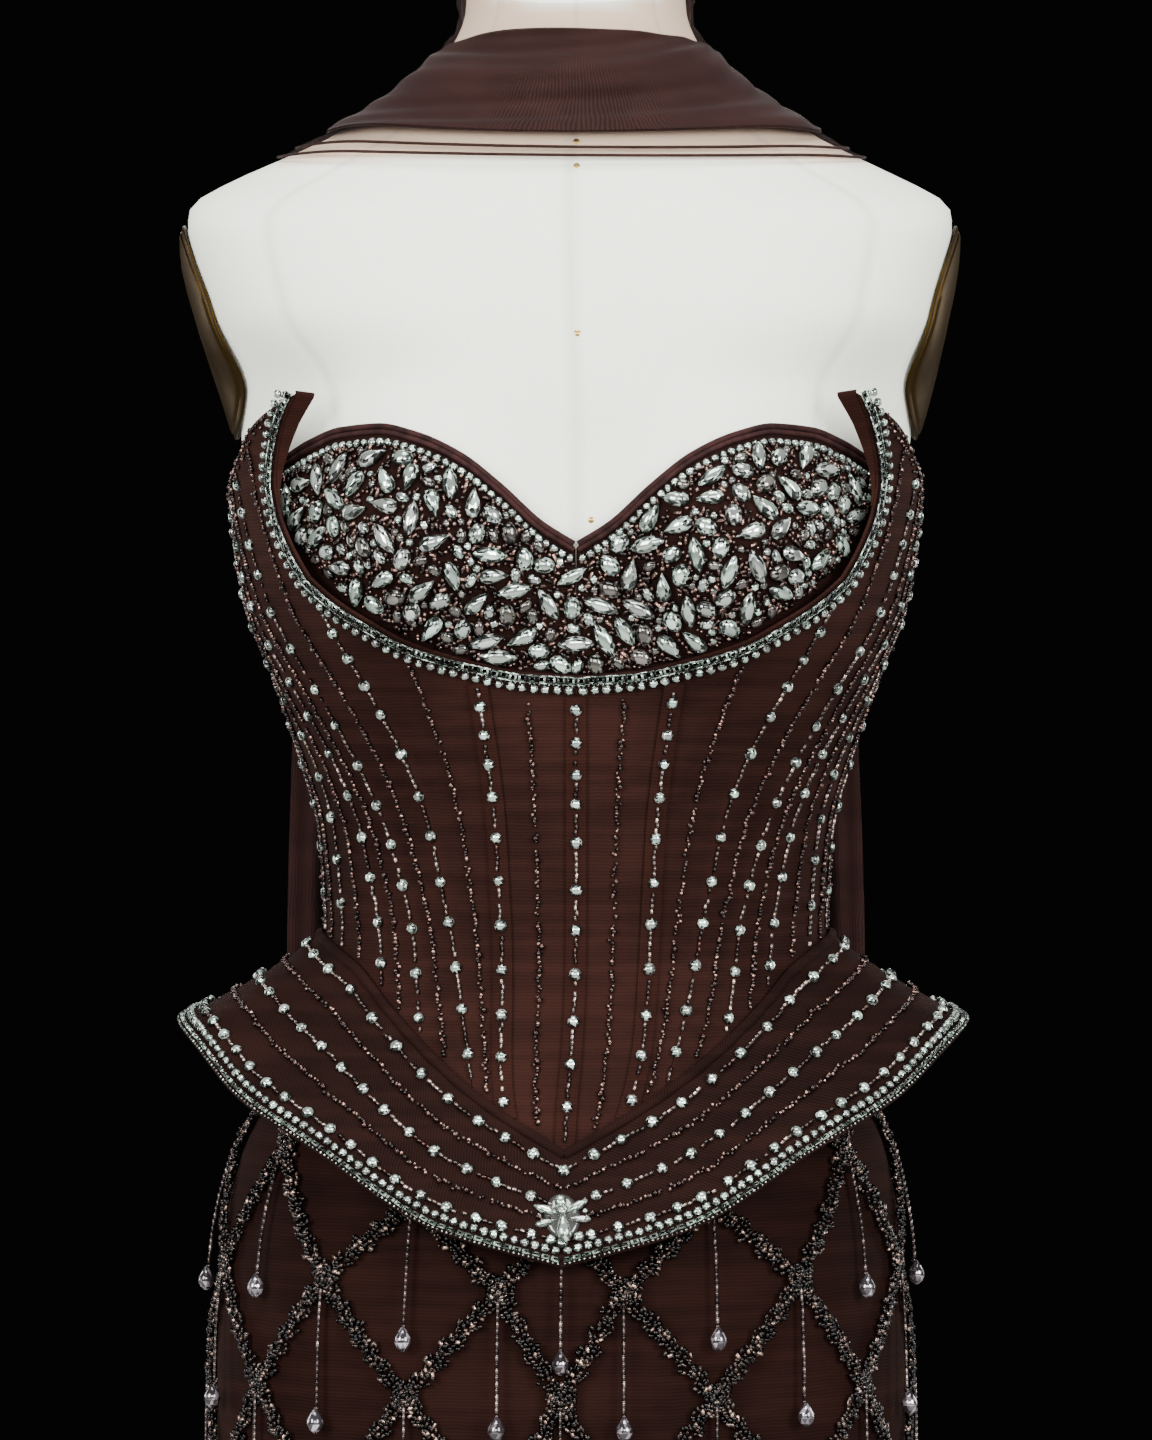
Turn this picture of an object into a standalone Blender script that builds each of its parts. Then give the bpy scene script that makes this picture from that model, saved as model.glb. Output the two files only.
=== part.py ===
"""Strapless beaded mermaid gown with its tulle stole, standing on a limbless dress form.

Metres, +Z up, the front faces -Y and +X is to the viewer's right.  The origin is on the
floor under the middle of the base.  Every cloth piece is a thin wall over one body
surface, which is a stack of half ellipses with two bust mounds; an angle of 0 is the
centre front, 90 the +X side seam and 180 the centre back.
"""
import math

import bmesh
import bpy
import numpy as np

MODEL = "mermaid_gown_on_dress_form"

# walls and clearances
GAP = 0.0003
EASE = 0.0015          # form to cloth
CORSET_WALL = 0.0016
SKIRT_WALL = 0.0012
PEPLUM_WALL = 0.0018
CUP_WALL = 0.0015
STOLE_WALL = 0.0012
TRIM_WALL = 0.0022
BONING_WALL = 0.0010
LAYER_GAP = 0.0007     # between two layers that lie on each other
FORM_INSET = 0.0012    # how far the form draws in where the gown covers it
FORM_INSET_TOP = 1.300
FORM_INSET_FADE = 0.060

# heights
NECK_TOP = 1.600
FORM_BOTTOM = 0.740
KNEE = 0.480
HEM = 0.012
POLE_RADIUS = 0.015
BASE_RADIUS = 0.210
BASE_HEIGHT = 0.028

# the body surface, one row for each section: height, half width, front, back, shift
BODY = np.array((
    (0.460, 0.1455, 0.103, 0.113, -0.0035),
    (0.500, 0.1445, 0.102, 0.112, -0.0040),
    (0.580, 0.1475, 0.104, 0.114, -0.0050),
    (0.660, 0.1560, 0.109, 0.119, -0.0060),
    (0.740, 0.1645, 0.114, 0.125, -0.0070),
    (0.820, 0.1690, 0.118, 0.132, -0.0075),
    (0.880, 0.1690, 0.117, 0.133, -0.0075),
    (0.930, 0.1665, 0.113, 0.125, -0.0070),
    (0.970, 0.1590, 0.107, 0.113, -0.0060),
    (1.000, 0.1465, 0.100, 0.103, -0.0045),
    (1.030, 0.1325, 0.093, 0.092, -0.0020),
    (1.060, 0.1245, 0.088, 0.085, -0.0005),
    (1.090, 0.1220, 0.086, 0.082, 0.0),
    (1.130, 0.1240, 0.090, 0.085, 0.0),
    (1.170, 0.1310, 0.095, 0.090, 0.0),
    (1.210, 0.1440, 0.101, 0.095, 0.0),
    (1.250, 0.1590, 0.106, 0.099, 0.0),
    (1.290, 0.1650, 0.109, 0.103, 0.0),
    (1.340, 0.1685, 0.109, 0.106, 0.0),
    (1.390, 0.1795, 0.103, 0.104, -0.002),
    (1.420, 0.1875, 0.095, 0.099, -0.003),
    (1.438, 0.1905, 0.089, 0.095, -0.003),
    (1.446, 0.1895, 0.086, 0.092, -0.003),
    (1.452, 0.1815, 0.083, 0.090, -0.003),
    (1.460, 0.1660, 0.079, 0.087, -0.003),
    (1.470, 0.1440, 0.075, 0.083, -0.002),
    (1.480, 0.1230, 0.071, 0.079, -0.001),
    (1.500, 0.0925, 0.064, 0.071, 0.0),
    (1.520, 0.0660, 0.057, 0.064, 0.0),
    (1.545, 0.0550, 0.052, 0.058, 0.0),
    (1.600, 0.0530, 0.048, 0.054, 0.0),
))
PLATE_HEIGHT = 1.3835
PLATE_HALF_HEIGHT = 0.0535
PLATE_HALF_DEPTH = 0.0440
# the arm plate's rings, inner face first: share of its size, distance off the form
PLATE_RINGS = (
    (0.10, 0.0012), (0.50, 0.0014), (0.78, 0.0016), (0.96, 0.0014), (1.0, 0.0019),
    (1.0, 0.0028), (0.90, 0.0050), (0.62, 0.0074), (0.10, 0.0088),
)
CORNER = 0.12          # how much squarer the chest's sections are at the armholes
CORNER_START = 1.350
CORNER_RISE = 0.040
CORNER_END = 1.430
CORNER_FALL = 0.030
BUST_RISE = 0.034
BUST_OFFSET = 0.084
BUST_HEIGHT = 1.272
BUST_SPREAD = 0.048
BUST_TALL = 0.056

# the V seam where the corset meets the peplum: angle, height
SEAM = np.array((
    (0, 0.978), (15, 1.0012), (30, 1.0245), (45, 1.0477), (58, 1.0663),
    (75, 1.076), (90, 1.080), (130, 1.072), (180, 1.060),
))
# the peplum's lower edge: angle, height, flare
PEPLUM = np.array((
    (0, 0.9290, 0.018), (20, 0.9466, 0.020), (40, 0.9795, 0.028),
    (60, 1.0060, 0.043), (80, 1.0350, 0.061), (95, 1.0400, 0.063),
    (120, 1.0240, 0.048), (150, 0.9960, 0.032), (180, 0.9800, 0.026),
))
PEPLUM_CURL = 1.25
PEPLUM_LAP = 0.004     # the peplum's rolled top lies this far up the corset
PEPLUM_CLEAR = 0.0038
SEAM_TURN = 0.06       # degrees by which a panel stops short of its seam
TRIM_TURN = 0.8        # degrees by which the peplum's edging stops short of its seams
TRIM_WIDTH = 0.009
CENTRE_CLEAR = 0.0015  # half the gap where two edgings meet at the centre front
PANEL_ROWS = 10
DEGREE_LENGTH = 0.0025 # a degree round the body as a length, to even out steps
BONING_HALF = 0.0048
BONING_SHORT = 0.004
BONING_GAP = 0.0011
BONING_SIDE_GAP = 0.0015
TRIM_GAP = 0.0017
WING_ROWS = 5

# the crystal lines that fan out over the corset: height, angle of the inner, of the middle
LINES = np.array((
    (0.990, 10.0, 16.0), (1.010, 12.6, 18.8), (1.030, 14.5, 22.0),
    (1.050, 15.6, 25.0), (1.100, 17.0, 30.5), (1.165, 18.0, 36.7),
    (1.225, 19.3, 45.0), (1.300, 20.0, 50.0),
))

# the corset's upper edge as angles and heights: under the cups, up the wing's front edge,
# and round the back
FRONT_EDGE = np.array((
    (0, 1.2121), (10, 1.2143), (19.6, 1.2206), (31.2, 1.2318), (36.8, 1.2410),
    (43.2, 1.2515), (47.6, 1.2608),
))
WING_EDGE = np.array((
    (47.6, 1.2608), (49.3, 1.2690), (51.0, 1.2793), (52.1, 1.2900), (52.2, 1.3000),
    (51.2, 1.3100), (49.4, 1.3204), (47.2, 1.3315), (44.0, 1.3440),
))
WING_TOP = np.array(((44.0, 1.3440), (55.0, 1.334), (67.0, 1.318), (80.0, 1.306), (90.0, 1.302)))
BACK_TOP = 1.298
WING_FLARE = 0.026
WING_START = 1.200
WING_RISE = 0.150
OVER_CUPS = 0.0026     # how much further out the corset lies where it covers the cups
OVER_START = 1.135
OVER_RISE = 0.050

# the cups: angle, height of the top and of the bottom
CUPS = np.array((
    (0, 1.2725, 1.2015), (6.3, 1.2831, 1.202), (13, 1.2998, 1.2035), (19.7, 1.3143, 1.2075),
    (27.2, 1.3241, 1.2125), (34, 1.3286, 1.219), (41.5, 1.3278, 1.230), (49, 1.3228, 1.242),
    (57, 1.3154, 1.246), (76, 1.3030, 1.248),
))
CUP_END = 76.0
CUP_STEPS = 18
CUP_ROWS = 12
STONE_RISE = 0.0036
BINDING_RADIUS = 0.0019
BINDING_PROUD = 0.0006

# the net of bead ropes on the skirt: heights of each row at the front, the side and the
# back, and whether its crossings lie at the first row's angles or between them
NET_ROWS = (
    (0.950, 0.981, 0.957, "between"),
    (0.915, 0.921, 0.910, "at"),
    (0.864, 0.866, 0.856, "between"),
    (0.806, 0.808, 0.802, "at"),
    (0.751, 0.752, 0.748, "between"),
)
NET_AT = (10.0, 42.0, 74.0, 106.0, 138.0, 170.0)
NET_BETWEEN = (0.0, 25.5, 58.0, 90.0, 122.0, 154.0, 180.0)
NET_IN = 0.0036
NET_OUT = 0.0078
KNOT = 0.0060
ROPE_HALF = 0.0038
STRAND_HALF = 0.0012
STRAND_LENGTH = 0.050
DROP_HALF = 0.0040
DROP_LENGTH = 0.012

# the skirt: shares of its height, closer together over the hips
SKIRT_TOP_GAP = 0.0006
SKIRT_ROWS = (0.0, 0.06, 0.12, 0.19, 0.27, 0.36, 0.48, 0.64, 0.82, 1.0)

# the flared foot of the skirt
WAVES = 12
WAVE_DEPTH = 0.030
HEM_HALF_WIDTH = 0.300
HEM_DEPTH = 0.285
FLARE_POWER = 1.6

# the stole
WRAP_END = 104.0
WRAP_TOP_FRONT = 1.5400
WRAP_TOP_SIDE = 1.5640
WRAP_HEM = 1.4625
WRAP_HEM_SIDE = 1.4700
WRAP_OUT = 0.0030
WRAP_FOLD = 0.0024
TAIL_BOTTOM = 0.800
TAIL_TURN = 0.4
TAIL_ROW_POWER = 2.3
TAIL_X = (0.050, 0.151)            # at the foot, neck side and arm side
TAIL_SHOULDER_Y = (0.104, 0.070)   # at the neck side and at the arm side
TAIL_END_Y = (0.152, 0.116)
TAIL_CLEAR = 0.0115
TAIL_WAVE = 0.006
TAIL_WAVES = 3

# colours are linear; the last two numbers are roughness and metallic
MATERIALS = {
    "linen": ((0.84, 0.84, 0.80), 0.85, 0.0),
    "arm_plate": ((0.26, 0.14, 0.05), 0.45, 0.6),
    "stand": ((0.05, 0.045, 0.04), 0.45, 0.8),
    "tulle": ((0.060, 0.022, 0.018), 0.75, 0.0),
    "lining": ((0.14, 0.045, 0.030), 0.80, 0.0),
    "binding": ((0.075, 0.015, 0.020), 0.55, 0.0),
    "crystal": ((0.72, 0.74, 0.68), 0.10, 0.3),
    "beads": ((0.10, 0.055, 0.035), 0.30, 0.5),
    "stole": ((0.16, 0.065, 0.062), 0.80, 0.0),
}


# ---------------------------------------------------------------- numbers and surfaces

def along(table, column, at):
    """A table's column read smoothly at the first column's values, without overshoot."""
    x = table[:, 0]
    y = table[:, column]
    at = np.clip(np.asarray(at, float), x[0], x[-1])
    step = np.diff(x)
    rise = np.diff(y) / step
    slope = np.zeros_like(y)
    same_way = rise[:-1] * rise[1:] > 0
    both = np.where(same_way, rise[:-1] + rise[1:], 1.0)
    slope[1:-1] = np.where(same_way, 2 * rise[:-1] * rise[1:] / both, 0.0)
    slope[0], slope[-1] = rise[0], rise[-1]
    i = np.clip(np.searchsorted(x, at, side="right") - 1, 0, len(step) - 1)
    t = (at - x[i]) / step[i]
    return (
        (2 * t**3 - 3 * t**2 + 1) * y[i]
        + (t**3 - 2 * t**2 + t) * step[i] * slope[i]
        + (3 * t**2 - 2 * t**3) * y[i + 1]
        + (t**3 - t**2) * step[i] * slope[i + 1]
    )


def ease(t):
    """0 to 1 with a soft start and end."""
    t = np.clip(t, 0.0, 1.0)
    return t * t * (3 - 2 * t)


def corner(height):
    """How far a section's corners are filled out, as a share of its size."""
    rise = ease((height - CORNER_START) / CORNER_RISE)
    return CORNER * rise * (1.0 - ease((height - CORNER_END) / CORNER_FALL))


def section_depth(share, height):
    """Depth of a section as a share of its own, at a share of its half width."""
    power = 2.0 + 8.0 * corner(height)
    return (1.0 - np.abs(share) ** power) ** (1.0 / power)


def body(angle, height):
    """Point of the body surface at an angle in degrees and a height."""
    angle, height = np.broadcast_arrays(np.asarray(angle, float), np.asarray(height, float))
    turn = np.radians(angle)
    side, front, back, shift = (along(BODY, k, height) for k in (1, 2, 3, 4))
    square = 1.0 + corner(height) * np.sin(2 * turn) ** 2
    x = side * square * np.sin(turn)
    y = -np.where(np.cos(turn) > 0, front, back) * square * np.cos(turn)
    mounds = sum(
        np.exp(-(((x - s * BUST_OFFSET) / BUST_SPREAD) ** 2)) for s in (-1, 1)
    )
    mounds = mounds * np.exp(-(((height - BUST_HEIGHT) / BUST_TALL) ** 2))
    y = y - BUST_RISE * mounds * np.clip(np.cos(turn) / 0.35, 0.0, 1.0)
    return np.stack((x + shift, y, height), axis=-1)


def unit(v):
    return v / np.linalg.norm(v, axis=-1, keepdims=True)


def skin(angle, height, out):
    """Body point moved out square to the surface."""
    step_angle, step_height = 0.05, 0.0005
    round_ = body(angle + step_angle, height) - body(angle - step_angle, height)
    up = body(angle, np.asarray(height) + step_height) - body(
        angle, np.asarray(height) - step_height
    )
    return body(angle, height) + unit(np.cross(round_, up)) * np.asarray(out)[..., None]


def level(angle, height, out):
    """Body point moved straight outwards, without rising or falling."""
    round_ = body(angle + 0.05, height) - body(angle - 0.05, height)
    up = np.zeros_like(round_)
    up[..., 2] = 1.0
    return body(angle, height) + unit(np.cross(round_, up)) * np.asarray(out)[..., None]


def raised(points, distance):
    """A grid of points moved out along its own normals; rows go down, columns to +X."""
    across = np.gradient(points, axis=1)
    down = np.gradient(points, axis=0)
    return points + unit(np.cross(down, across)) * distance


# ---------------------------------------------------------------- objects

def material(name):
    """The Principled material of one finish."""
    if name in bpy.data.materials:
        return bpy.data.materials[name]
    colour, roughness, metallic = MATERIALS[name]
    made = bpy.data.materials.new(name)
    made.use_nodes = True
    made.diffuse_color = (*colour, 1.0)
    shader = made.node_tree.nodes["Principled BSDF"]
    shader.inputs["Base Color"].default_value = (*colour, 1.0)
    shader.inputs["Roughness"].default_value = roughness
    shader.inputs["Metallic"].default_value = metallic
    return made


def add(name, data, finish, smooth=True):
    """A new object in the model's collection."""
    made = bpy.data.objects.new(name, data)
    bpy.data.collections[MODEL].objects.link(made)
    data.materials.append(material(finish))
    if smooth and isinstance(data, bpy.types.Mesh):
        data.shade_smooth()
        data.set_sharp_from_angle(angle=math.radians(40))
    return made


def mesh_of(name, points, faces):
    data = bpy.data.meshes.new(name)
    data.from_pydata(points.reshape(-1, 3).tolist(), [], faces)
    data.validate()
    data.update()
    return data


def grid_faces(rows, columns, closed=False):
    """Quads over a grid of points whose rows go down and columns to +X, facing out."""
    last = columns if closed else columns - 1
    return [
        (r * columns + c, (r + 1) * columns + c,
         (r + 1) * columns + (c + 1) % columns, r * columns + (c + 1) % columns)
        for r in range(rows - 1)
        for c in range(last)
    ]


def cloth(name, points, wall, finish):
    """A cloth wall that grows outwards from a grid of inner points."""
    rows, columns = points.shape[:2]
    made = add(name, mesh_of(name, points, grid_faces(rows, columns)), finish)
    shell = made.modifiers.new("wall", "SOLIDIFY")
    shell.thickness = wall
    shell.offset = 1.0
    return made


def wall_between(name, inner, outer, finish):
    """A closed wall whose outer points differ in form from its plain inner ones."""
    rows, columns = inner.shape[:2]
    count = rows * columns
    faces = grid_faces(rows, columns)
    faces += [tuple(count + i for i in reversed(face)) for face in grid_faces(rows, columns)]
    rim = [(0, c) for c in range(columns)]
    rim += [(r, columns - 1) for r in range(1, rows)]
    rim += [(rows - 1, c) for c in range(columns - 2, -1, -1)]
    rim += [(r, 0) for r in range(rows - 2, 0, -1)]
    ring = [r * columns + c for r, c in rim]
    faces += [
        (a, b, b + count, a + count) for a, b in zip(ring, ring[1:] + ring[:1])
    ]
    return add(name, mesh_of(name, np.concatenate((outer, inner)), faces), finish)


def rings(name, loops, finish, closed_ends=True):
    """A loft through rings of points, with flat ends."""
    loops = np.asarray(loops)
    count, around = loops.shape[:2]
    faces = grid_faces(count, around, closed=True)
    if closed_ends:
        faces.append(tuple(range(around)))
        faces.append(tuple((count - 1) * around + i for i in reversed(range(around))))
    return add(name, mesh_of(name, loops, faces), finish)


def turned(name, profile, finish, steps):
    """A profile of radius and height pairs, run top to bottom, turned about the Z axis."""
    data = bpy.data.meshes.new(name)
    points = [(radius, 0.0, height) for radius, height in profile]
    data.from_pydata(points, [(i, i + 1) for i in range(len(points) - 1)], [])
    made = add(name, data, finish, smooth=False)
    screw = made.modifiers.new("turn", "SCREW")
    screw.steps = steps
    screw.render_steps = steps
    screw.use_merge_vertices = True
    screw.merge_threshold = 0.0001
    return made


def roll(name, points, radius, finish):
    """A rolled edge as a round cord along a path."""
    data = bpy.data.curves.new(name, "CURVE")
    data.dimensions = "3D"
    data.bevel_depth = radius
    data.bevel_resolution = 1
    data.use_fill_caps = True
    spline = data.splines.new("POLY")
    spline.points.add(len(points) - 1)
    for place, point in zip(spline.points, points):
        place.co = (*point, 1.0)
    return add(name, data, finish)


# ---------------------------------------------------------------- the dress form

def dress_form():
    heights = np.concatenate((
        (NECK_TOP, 1.545, 1.520, 1.500, 1.480, 1.470, 1.460, 1.452, 1.446, 1.438, 1.420),
        np.linspace(1.390, 1.095, 8),
        np.linspace(1.050, FORM_BOTTOM, 7),
    ))
    angles = np.arange(28) * 360.0 / 28
    rings("form_torso", [skin(angles, np.full(28, h), form_out(h)) for h in heights], "linen")
    crown = NECK_TOP + GAP
    turned(
        "form_neck_cap",
        ((0.0, crown + 0.022), (0.010, crown + 0.018), (0.014, crown + 0.010),
         (0.044, crown + 0.007), (0.046, crown), (0.0, crown)),
        "stand", 18,
    )
    pole_top = FORM_BOTTOM - GAP
    turned(
        "form_pole",
        ((0.0, pole_top), (POLE_RADIUS, pole_top), (POLE_RADIUS, BASE_HEIGHT + GAP),
         (0.0, BASE_HEIGHT + GAP)),
        "stand", 16,
    )
    turned(
        "form_base",
        ((0.0, BASE_HEIGHT), (0.034, BASE_HEIGHT), (0.060, 0.020), (0.190, 0.014),
         (BASE_RADIUS, 0.008), (BASE_RADIUS, 0.0), (0.0, 0.0)),
        "stand", 28,
    )
    for side, name in ((-1, "left"), (1, "right")):
        arm_plate(f"form_arm_plate_{name}", side)


def form_out(height):
    """How far the form's surface lies off the body surface; negative is inside it."""
    return -FORM_INSET * ease((FORM_INSET_TOP + FORM_INSET_FADE - height) / FORM_INSET_FADE)


def arm_plate(name, side):
    """A dished oval plate over the form's armhole, its inner face just off the form."""
    turn = np.arange(16) * 2 * math.pi / 16
    loops = []
    for scale, off in PLATE_RINGS:
        y = PLATE_HALF_DEPTH * scale * np.cos(turn)
        z = PLATE_HEIGHT + PLATE_HALF_HEIGHT * scale * np.sin(turn)
        deep = np.where(y < 0, along(BODY, 2, z), along(BODY, 3, z))
        x = along(BODY, 1, z) * section_depth(y / deep, z) + along(BODY, 4, z) * side + off
        loops.append(np.stack((x, y, z), axis=-1))
    loops = np.array(loops)
    rings(name, loops[:, ::-1] if side > 0 else loops * (-1, 1, 1), "arm_plate")


# ---------------------------------------------------------------- corset and cups

def over_cups(height):
    return OVER_CUPS * ease((height - OVER_START) / OVER_RISE)


def corset_out(angle, height):
    """How far the corset's inside lies off the body, with the wing's outward lean."""
    lift = np.clip((height - WING_START) / WING_RISE, 0.0, 1.0) ** 1.5
    return EASE + over_cups(height) + WING_FLARE * lift * ease((90.0 - np.abs(angle)) / 45.0)


def seam(angle):
    return along(SEAM, 1, np.abs(angle))


def line(column, height):
    """Angle of a crystal line at a height; column 0 is the centre front."""
    return along(LINES, column, height) if column else np.zeros_like(np.asarray(height, float))


def front_panel(left_line, right_line, columns, rows):
    """Angles and heights of a panel between two crystal lines, from the top edge down."""
    u = np.linspace(0.0, 1.0, columns)
    low = np.full(columns, 1.02)
    top = np.full(columns, 1.21)
    for _ in range(20):
        low = seam(line(left_line, low) * (1 - u) + line(right_line, low) * u)
        top_angle = line(left_line, top) * (1 - u) + line(right_line, top) * u
        top = along(FRONT_EDGE, 1, top_angle)
    v = np.linspace(0.0, 1.0, rows)[:, None]
    height = top * (1 - v) + low * v
    return line(left_line, height) * (1 - u) + line(right_line, height) * u, height


def even_path(points, count):
    """Angle and height pairs respaced evenly along their path."""
    points = np.asarray(points, float)
    spread = points * (DEGREE_LENGTH, 1.0)
    length = np.concatenate(((0.0,), np.cumsum(np.linalg.norm(np.diff(spread, axis=0), axis=1))))
    at = np.linspace(0.0, length[-1], count)
    return np.stack([np.interp(at, length, points[:, k]) for k in (0, 1)], axis=-1)


def side_panel(seam_line, columns, wing_rows):
    """Angles and heights of the panel that rises into the wing, from the top edge down.

    Its left side is the seam line it shares with the panel before it, run on up the
    front edge of the wing; a Coons patch fills the four sides.
    """
    u = np.linspace(0.0, 1.0, columns)
    low = np.full(columns, seam_line[-1, 1])
    for _ in range(30):
        low_angle = line(2, low) * (1 - u) + 90.0 * u
        low = seam(low_angle)
    left = np.concatenate((seam_line[::-1], even_path(WING_EDGE, wing_rows + 1)[1:]))
    step = np.linalg.norm(np.diff(left * (DEGREE_LENGTH, 1.0), axis=0), axis=1)
    v = np.concatenate(((0.0,), np.cumsum(step))) / step.sum()
    right = np.stack((np.full(v.shape, 90.0), low[-1] + (WING_TOP[-1, 1] - low[-1]) * v), axis=-1)
    bottom = np.stack((low_angle, low), axis=-1)
    top = even_path(WING_TOP, columns)
    v = v[:, None, None]
    u = u[None, :, None]
    corners = (
        (1 - u) * (1 - v) * bottom[0] + u * (1 - v) * bottom[-1]
        + (1 - u) * v * top[0] + u * v * top[-1]
    )
    patch = (
        (1 - u) * left[:, None] + u * right[:, None]
        + (1 - v) * bottom[None] + v * top[None] - corners
    )[::-1]
    return patch[..., 0], patch[..., 1]


def back_panel(columns, rows):
    angle = np.linspace(90.0, 180.0, columns)
    v = np.linspace(0.0, 1.0, rows)[:, None]
    top = WING_TOP[-1, 1] + (BACK_TOP - WING_TOP[-1, 1]) * ease((angle - 90.0) / 60.0)
    height = top * (1 - v) + seam(angle) * v
    return np.broadcast_to(angle, height.shape), height


def shrink(angle, height, seams=GAP / 2):
    """Draws a panel's first and last columns in by half a seam's gap."""
    angle = angle.copy()
    reach = np.linalg.norm(body(angle[:, 0] + 0.5, height[:, 0])
                           - body(angle[:, 0] - 0.5, height[:, 0]), axis=-1)
    angle[:, 0] += seams / reach
    reach = np.linalg.norm(body(angle[:, -1] + 0.5, height[:, -1])
                           - body(angle[:, -1] - 0.5, height[:, -1]), axis=-1)
    angle[:, -1] -= seams / reach
    return angle, height


def both_sides(name, angle, height, out, make):
    """Makes the right piece from a panel and the left one as its mirror image."""
    for side, word in ((1, "right"), (-1, "left")):
        turn, tall, off = (angle, height, out)
        if side < 0:
            turn, tall, off = -angle[:, ::-1], height[:, ::-1], out[:, ::-1]
        make(f"{name}_{word}", turn, tall, off)


def corset():
    """Four panels a side, their crystal edging and the three boning channels."""
    def panel(name, angle, height, out):
        cloth(name, skin(angle, height, out), CORSET_WALL, "tulle")

    panels = {
        "corset_front": front_panel(0, 1, 4, PANEL_ROWS),
        "corset_mid": front_panel(1, 2, 4, PANEL_ROWS),
        "corset_back": back_panel(11, 8),
    }
    seam_line = np.stack([values[:, -1] for values in panels["corset_mid"]], axis=-1)
    panels["corset_side"] = side_panel(seam_line, 9, WING_ROWS)
    for name, (angle, height) in panels.items():
        angle, height = shrink(angle, height)
        both_sides(name, angle, height, corset_out(angle, height), panel)
    corset_trim(panels)
    boning(panels)


def corset_trim(panels):
    """The crystal edging: under the cups and up the front of the wing to its tip."""
    ribbons = []
    for name in ("corset_front", "corset_mid", "corset_side"):
        angle, height = panels[name]
        points = skin(angle, height, corset_out(angle, height))
        points = raised(points, CORSET_WALL + TRIM_GAP)
        if name == "corset_side":
            corner = np.stack((points[WING_ROWS, 0], points[WING_ROWS + 1, 1]))
            ribbons.append(corner[:, None])
            ribbons.append(points[:WING_ROWS, :2][::-1].transpose(1, 0, 2))
        else:
            ribbons.append(points[:2, :-1])
    pair = np.concatenate(ribbons, axis=1)
    ribbon = np.stack((pair[0], pair[0] + unit(pair[1] - pair[0]) * TRIM_WIDTH))
    ribbon[:, 0, 0] += CENTRE_CLEAR
    cloth("corset_trim_right", ribbon, TRIM_WALL, "crystal")
    cloth("corset_trim_left", ribbon[:, ::-1] * (-1, 1, 1), TRIM_WALL, "crystal")


def boning(panels):
    """Narrow channels sewn over the centre seam and the two inner seams."""
    angle, height = panels["corset_front"]
    for name, column, side, gap in (
        ("boning_centre", 0, 1, BONING_GAP),
        ("boning_right", -1, 1, BONING_SIDE_GAP),
        ("boning_left", -1, -1, BONING_SIDE_GAP),
    ):
        middle, tall = side * angle[:, column], height[:, column].copy()
        tall[0] -= TRIM_WIDTH + BONING_SHORT
        tall[-1] += PEPLUM_LAP + BONING_SHORT
        width = np.degrees(BONING_HALF / along(BODY, 1, tall))[:, None]
        turns = middle[:, None] + np.array((-1.0, 0.0, 1.0)) * width
        tall = np.broadcast_to(tall[:, None], turns.shape)
        out = corset_out(turns, tall) + CORSET_WALL + gap
        cloth(name, skin(turns, tall, out), BONING_WALL, "lining")


def cups():
    """Two cups; large stones stand out of the outer points of each."""
    angle = np.linspace(0.0, CUP_END, CUP_STEPS + 1)
    v = np.linspace(0.0, 1.0, CUP_ROWS + 1)[:, None]
    height = along(CUPS, 1, angle) * (1 - v) + along(CUPS, 2, angle) * v
    angle, height = shrink(np.broadcast_to(angle, height.shape), height)
    row, column = np.indices(height.shape)
    shown = (row < CUP_ROWS - 1) & (angle < 60.0)
    stones = (row % 2 == 1) & (column % 2 == 1) & shown
    pattern = 0.75 + 0.25 * np.sin(2.1 * row + 1.7 * column)
    rise = np.where(stones, STONE_RISE * pattern, 0.0)

    def cup(name, turn, tall, off):
        inner = skin(turn, tall, np.full(tall.shape, EASE))
        wall_between(name, inner, skin(turn, tall, EASE + CUP_WALL + off), "crystal")

    both_sides("cup", angle, height, rise, cup)

    out = np.full(height.shape[1], EASE + CUP_WALL + BINDING_PROUD)
    edge = skin(angle[0], height[0], out)
    below = skin(angle[1], height[1], out)
    path = unit(np.gradient(edge, axis=0))
    up = edge - below
    up = unit(up - (up * path).sum(axis=-1, keepdims=True) * path)
    edge = edge + up * (BINDING_RADIUS + GAP * 2)
    share = (BINDING_RADIUS + GAP * 2 - edge[0, 0]) / (edge[1, 0] - edge[0, 0])
    edge[0] += (edge[1] - edge[0]) * share
    for side, word in ((1, "right"), (-1, "left")):
        roll(f"cup_binding_{word}", edge * (side, 1, 1), BINDING_RADIUS, "binding")


# ---------------------------------------------------------------- peplum and brooch

def peplum_point(angle, v):
    """Inner face of the peplum: v is 0 at its rolled top and 1 at its lower edge."""
    turn = np.abs(angle)
    top = seam(turn) + PEPLUM_LAP
    height = top + (along(PEPLUM, 1, turn) - top) * v
    out = PEPLUM_CLEAR + along(PEPLUM, 2, turn) * v**PEPLUM_CURL
    return level(angle, height, out)


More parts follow.
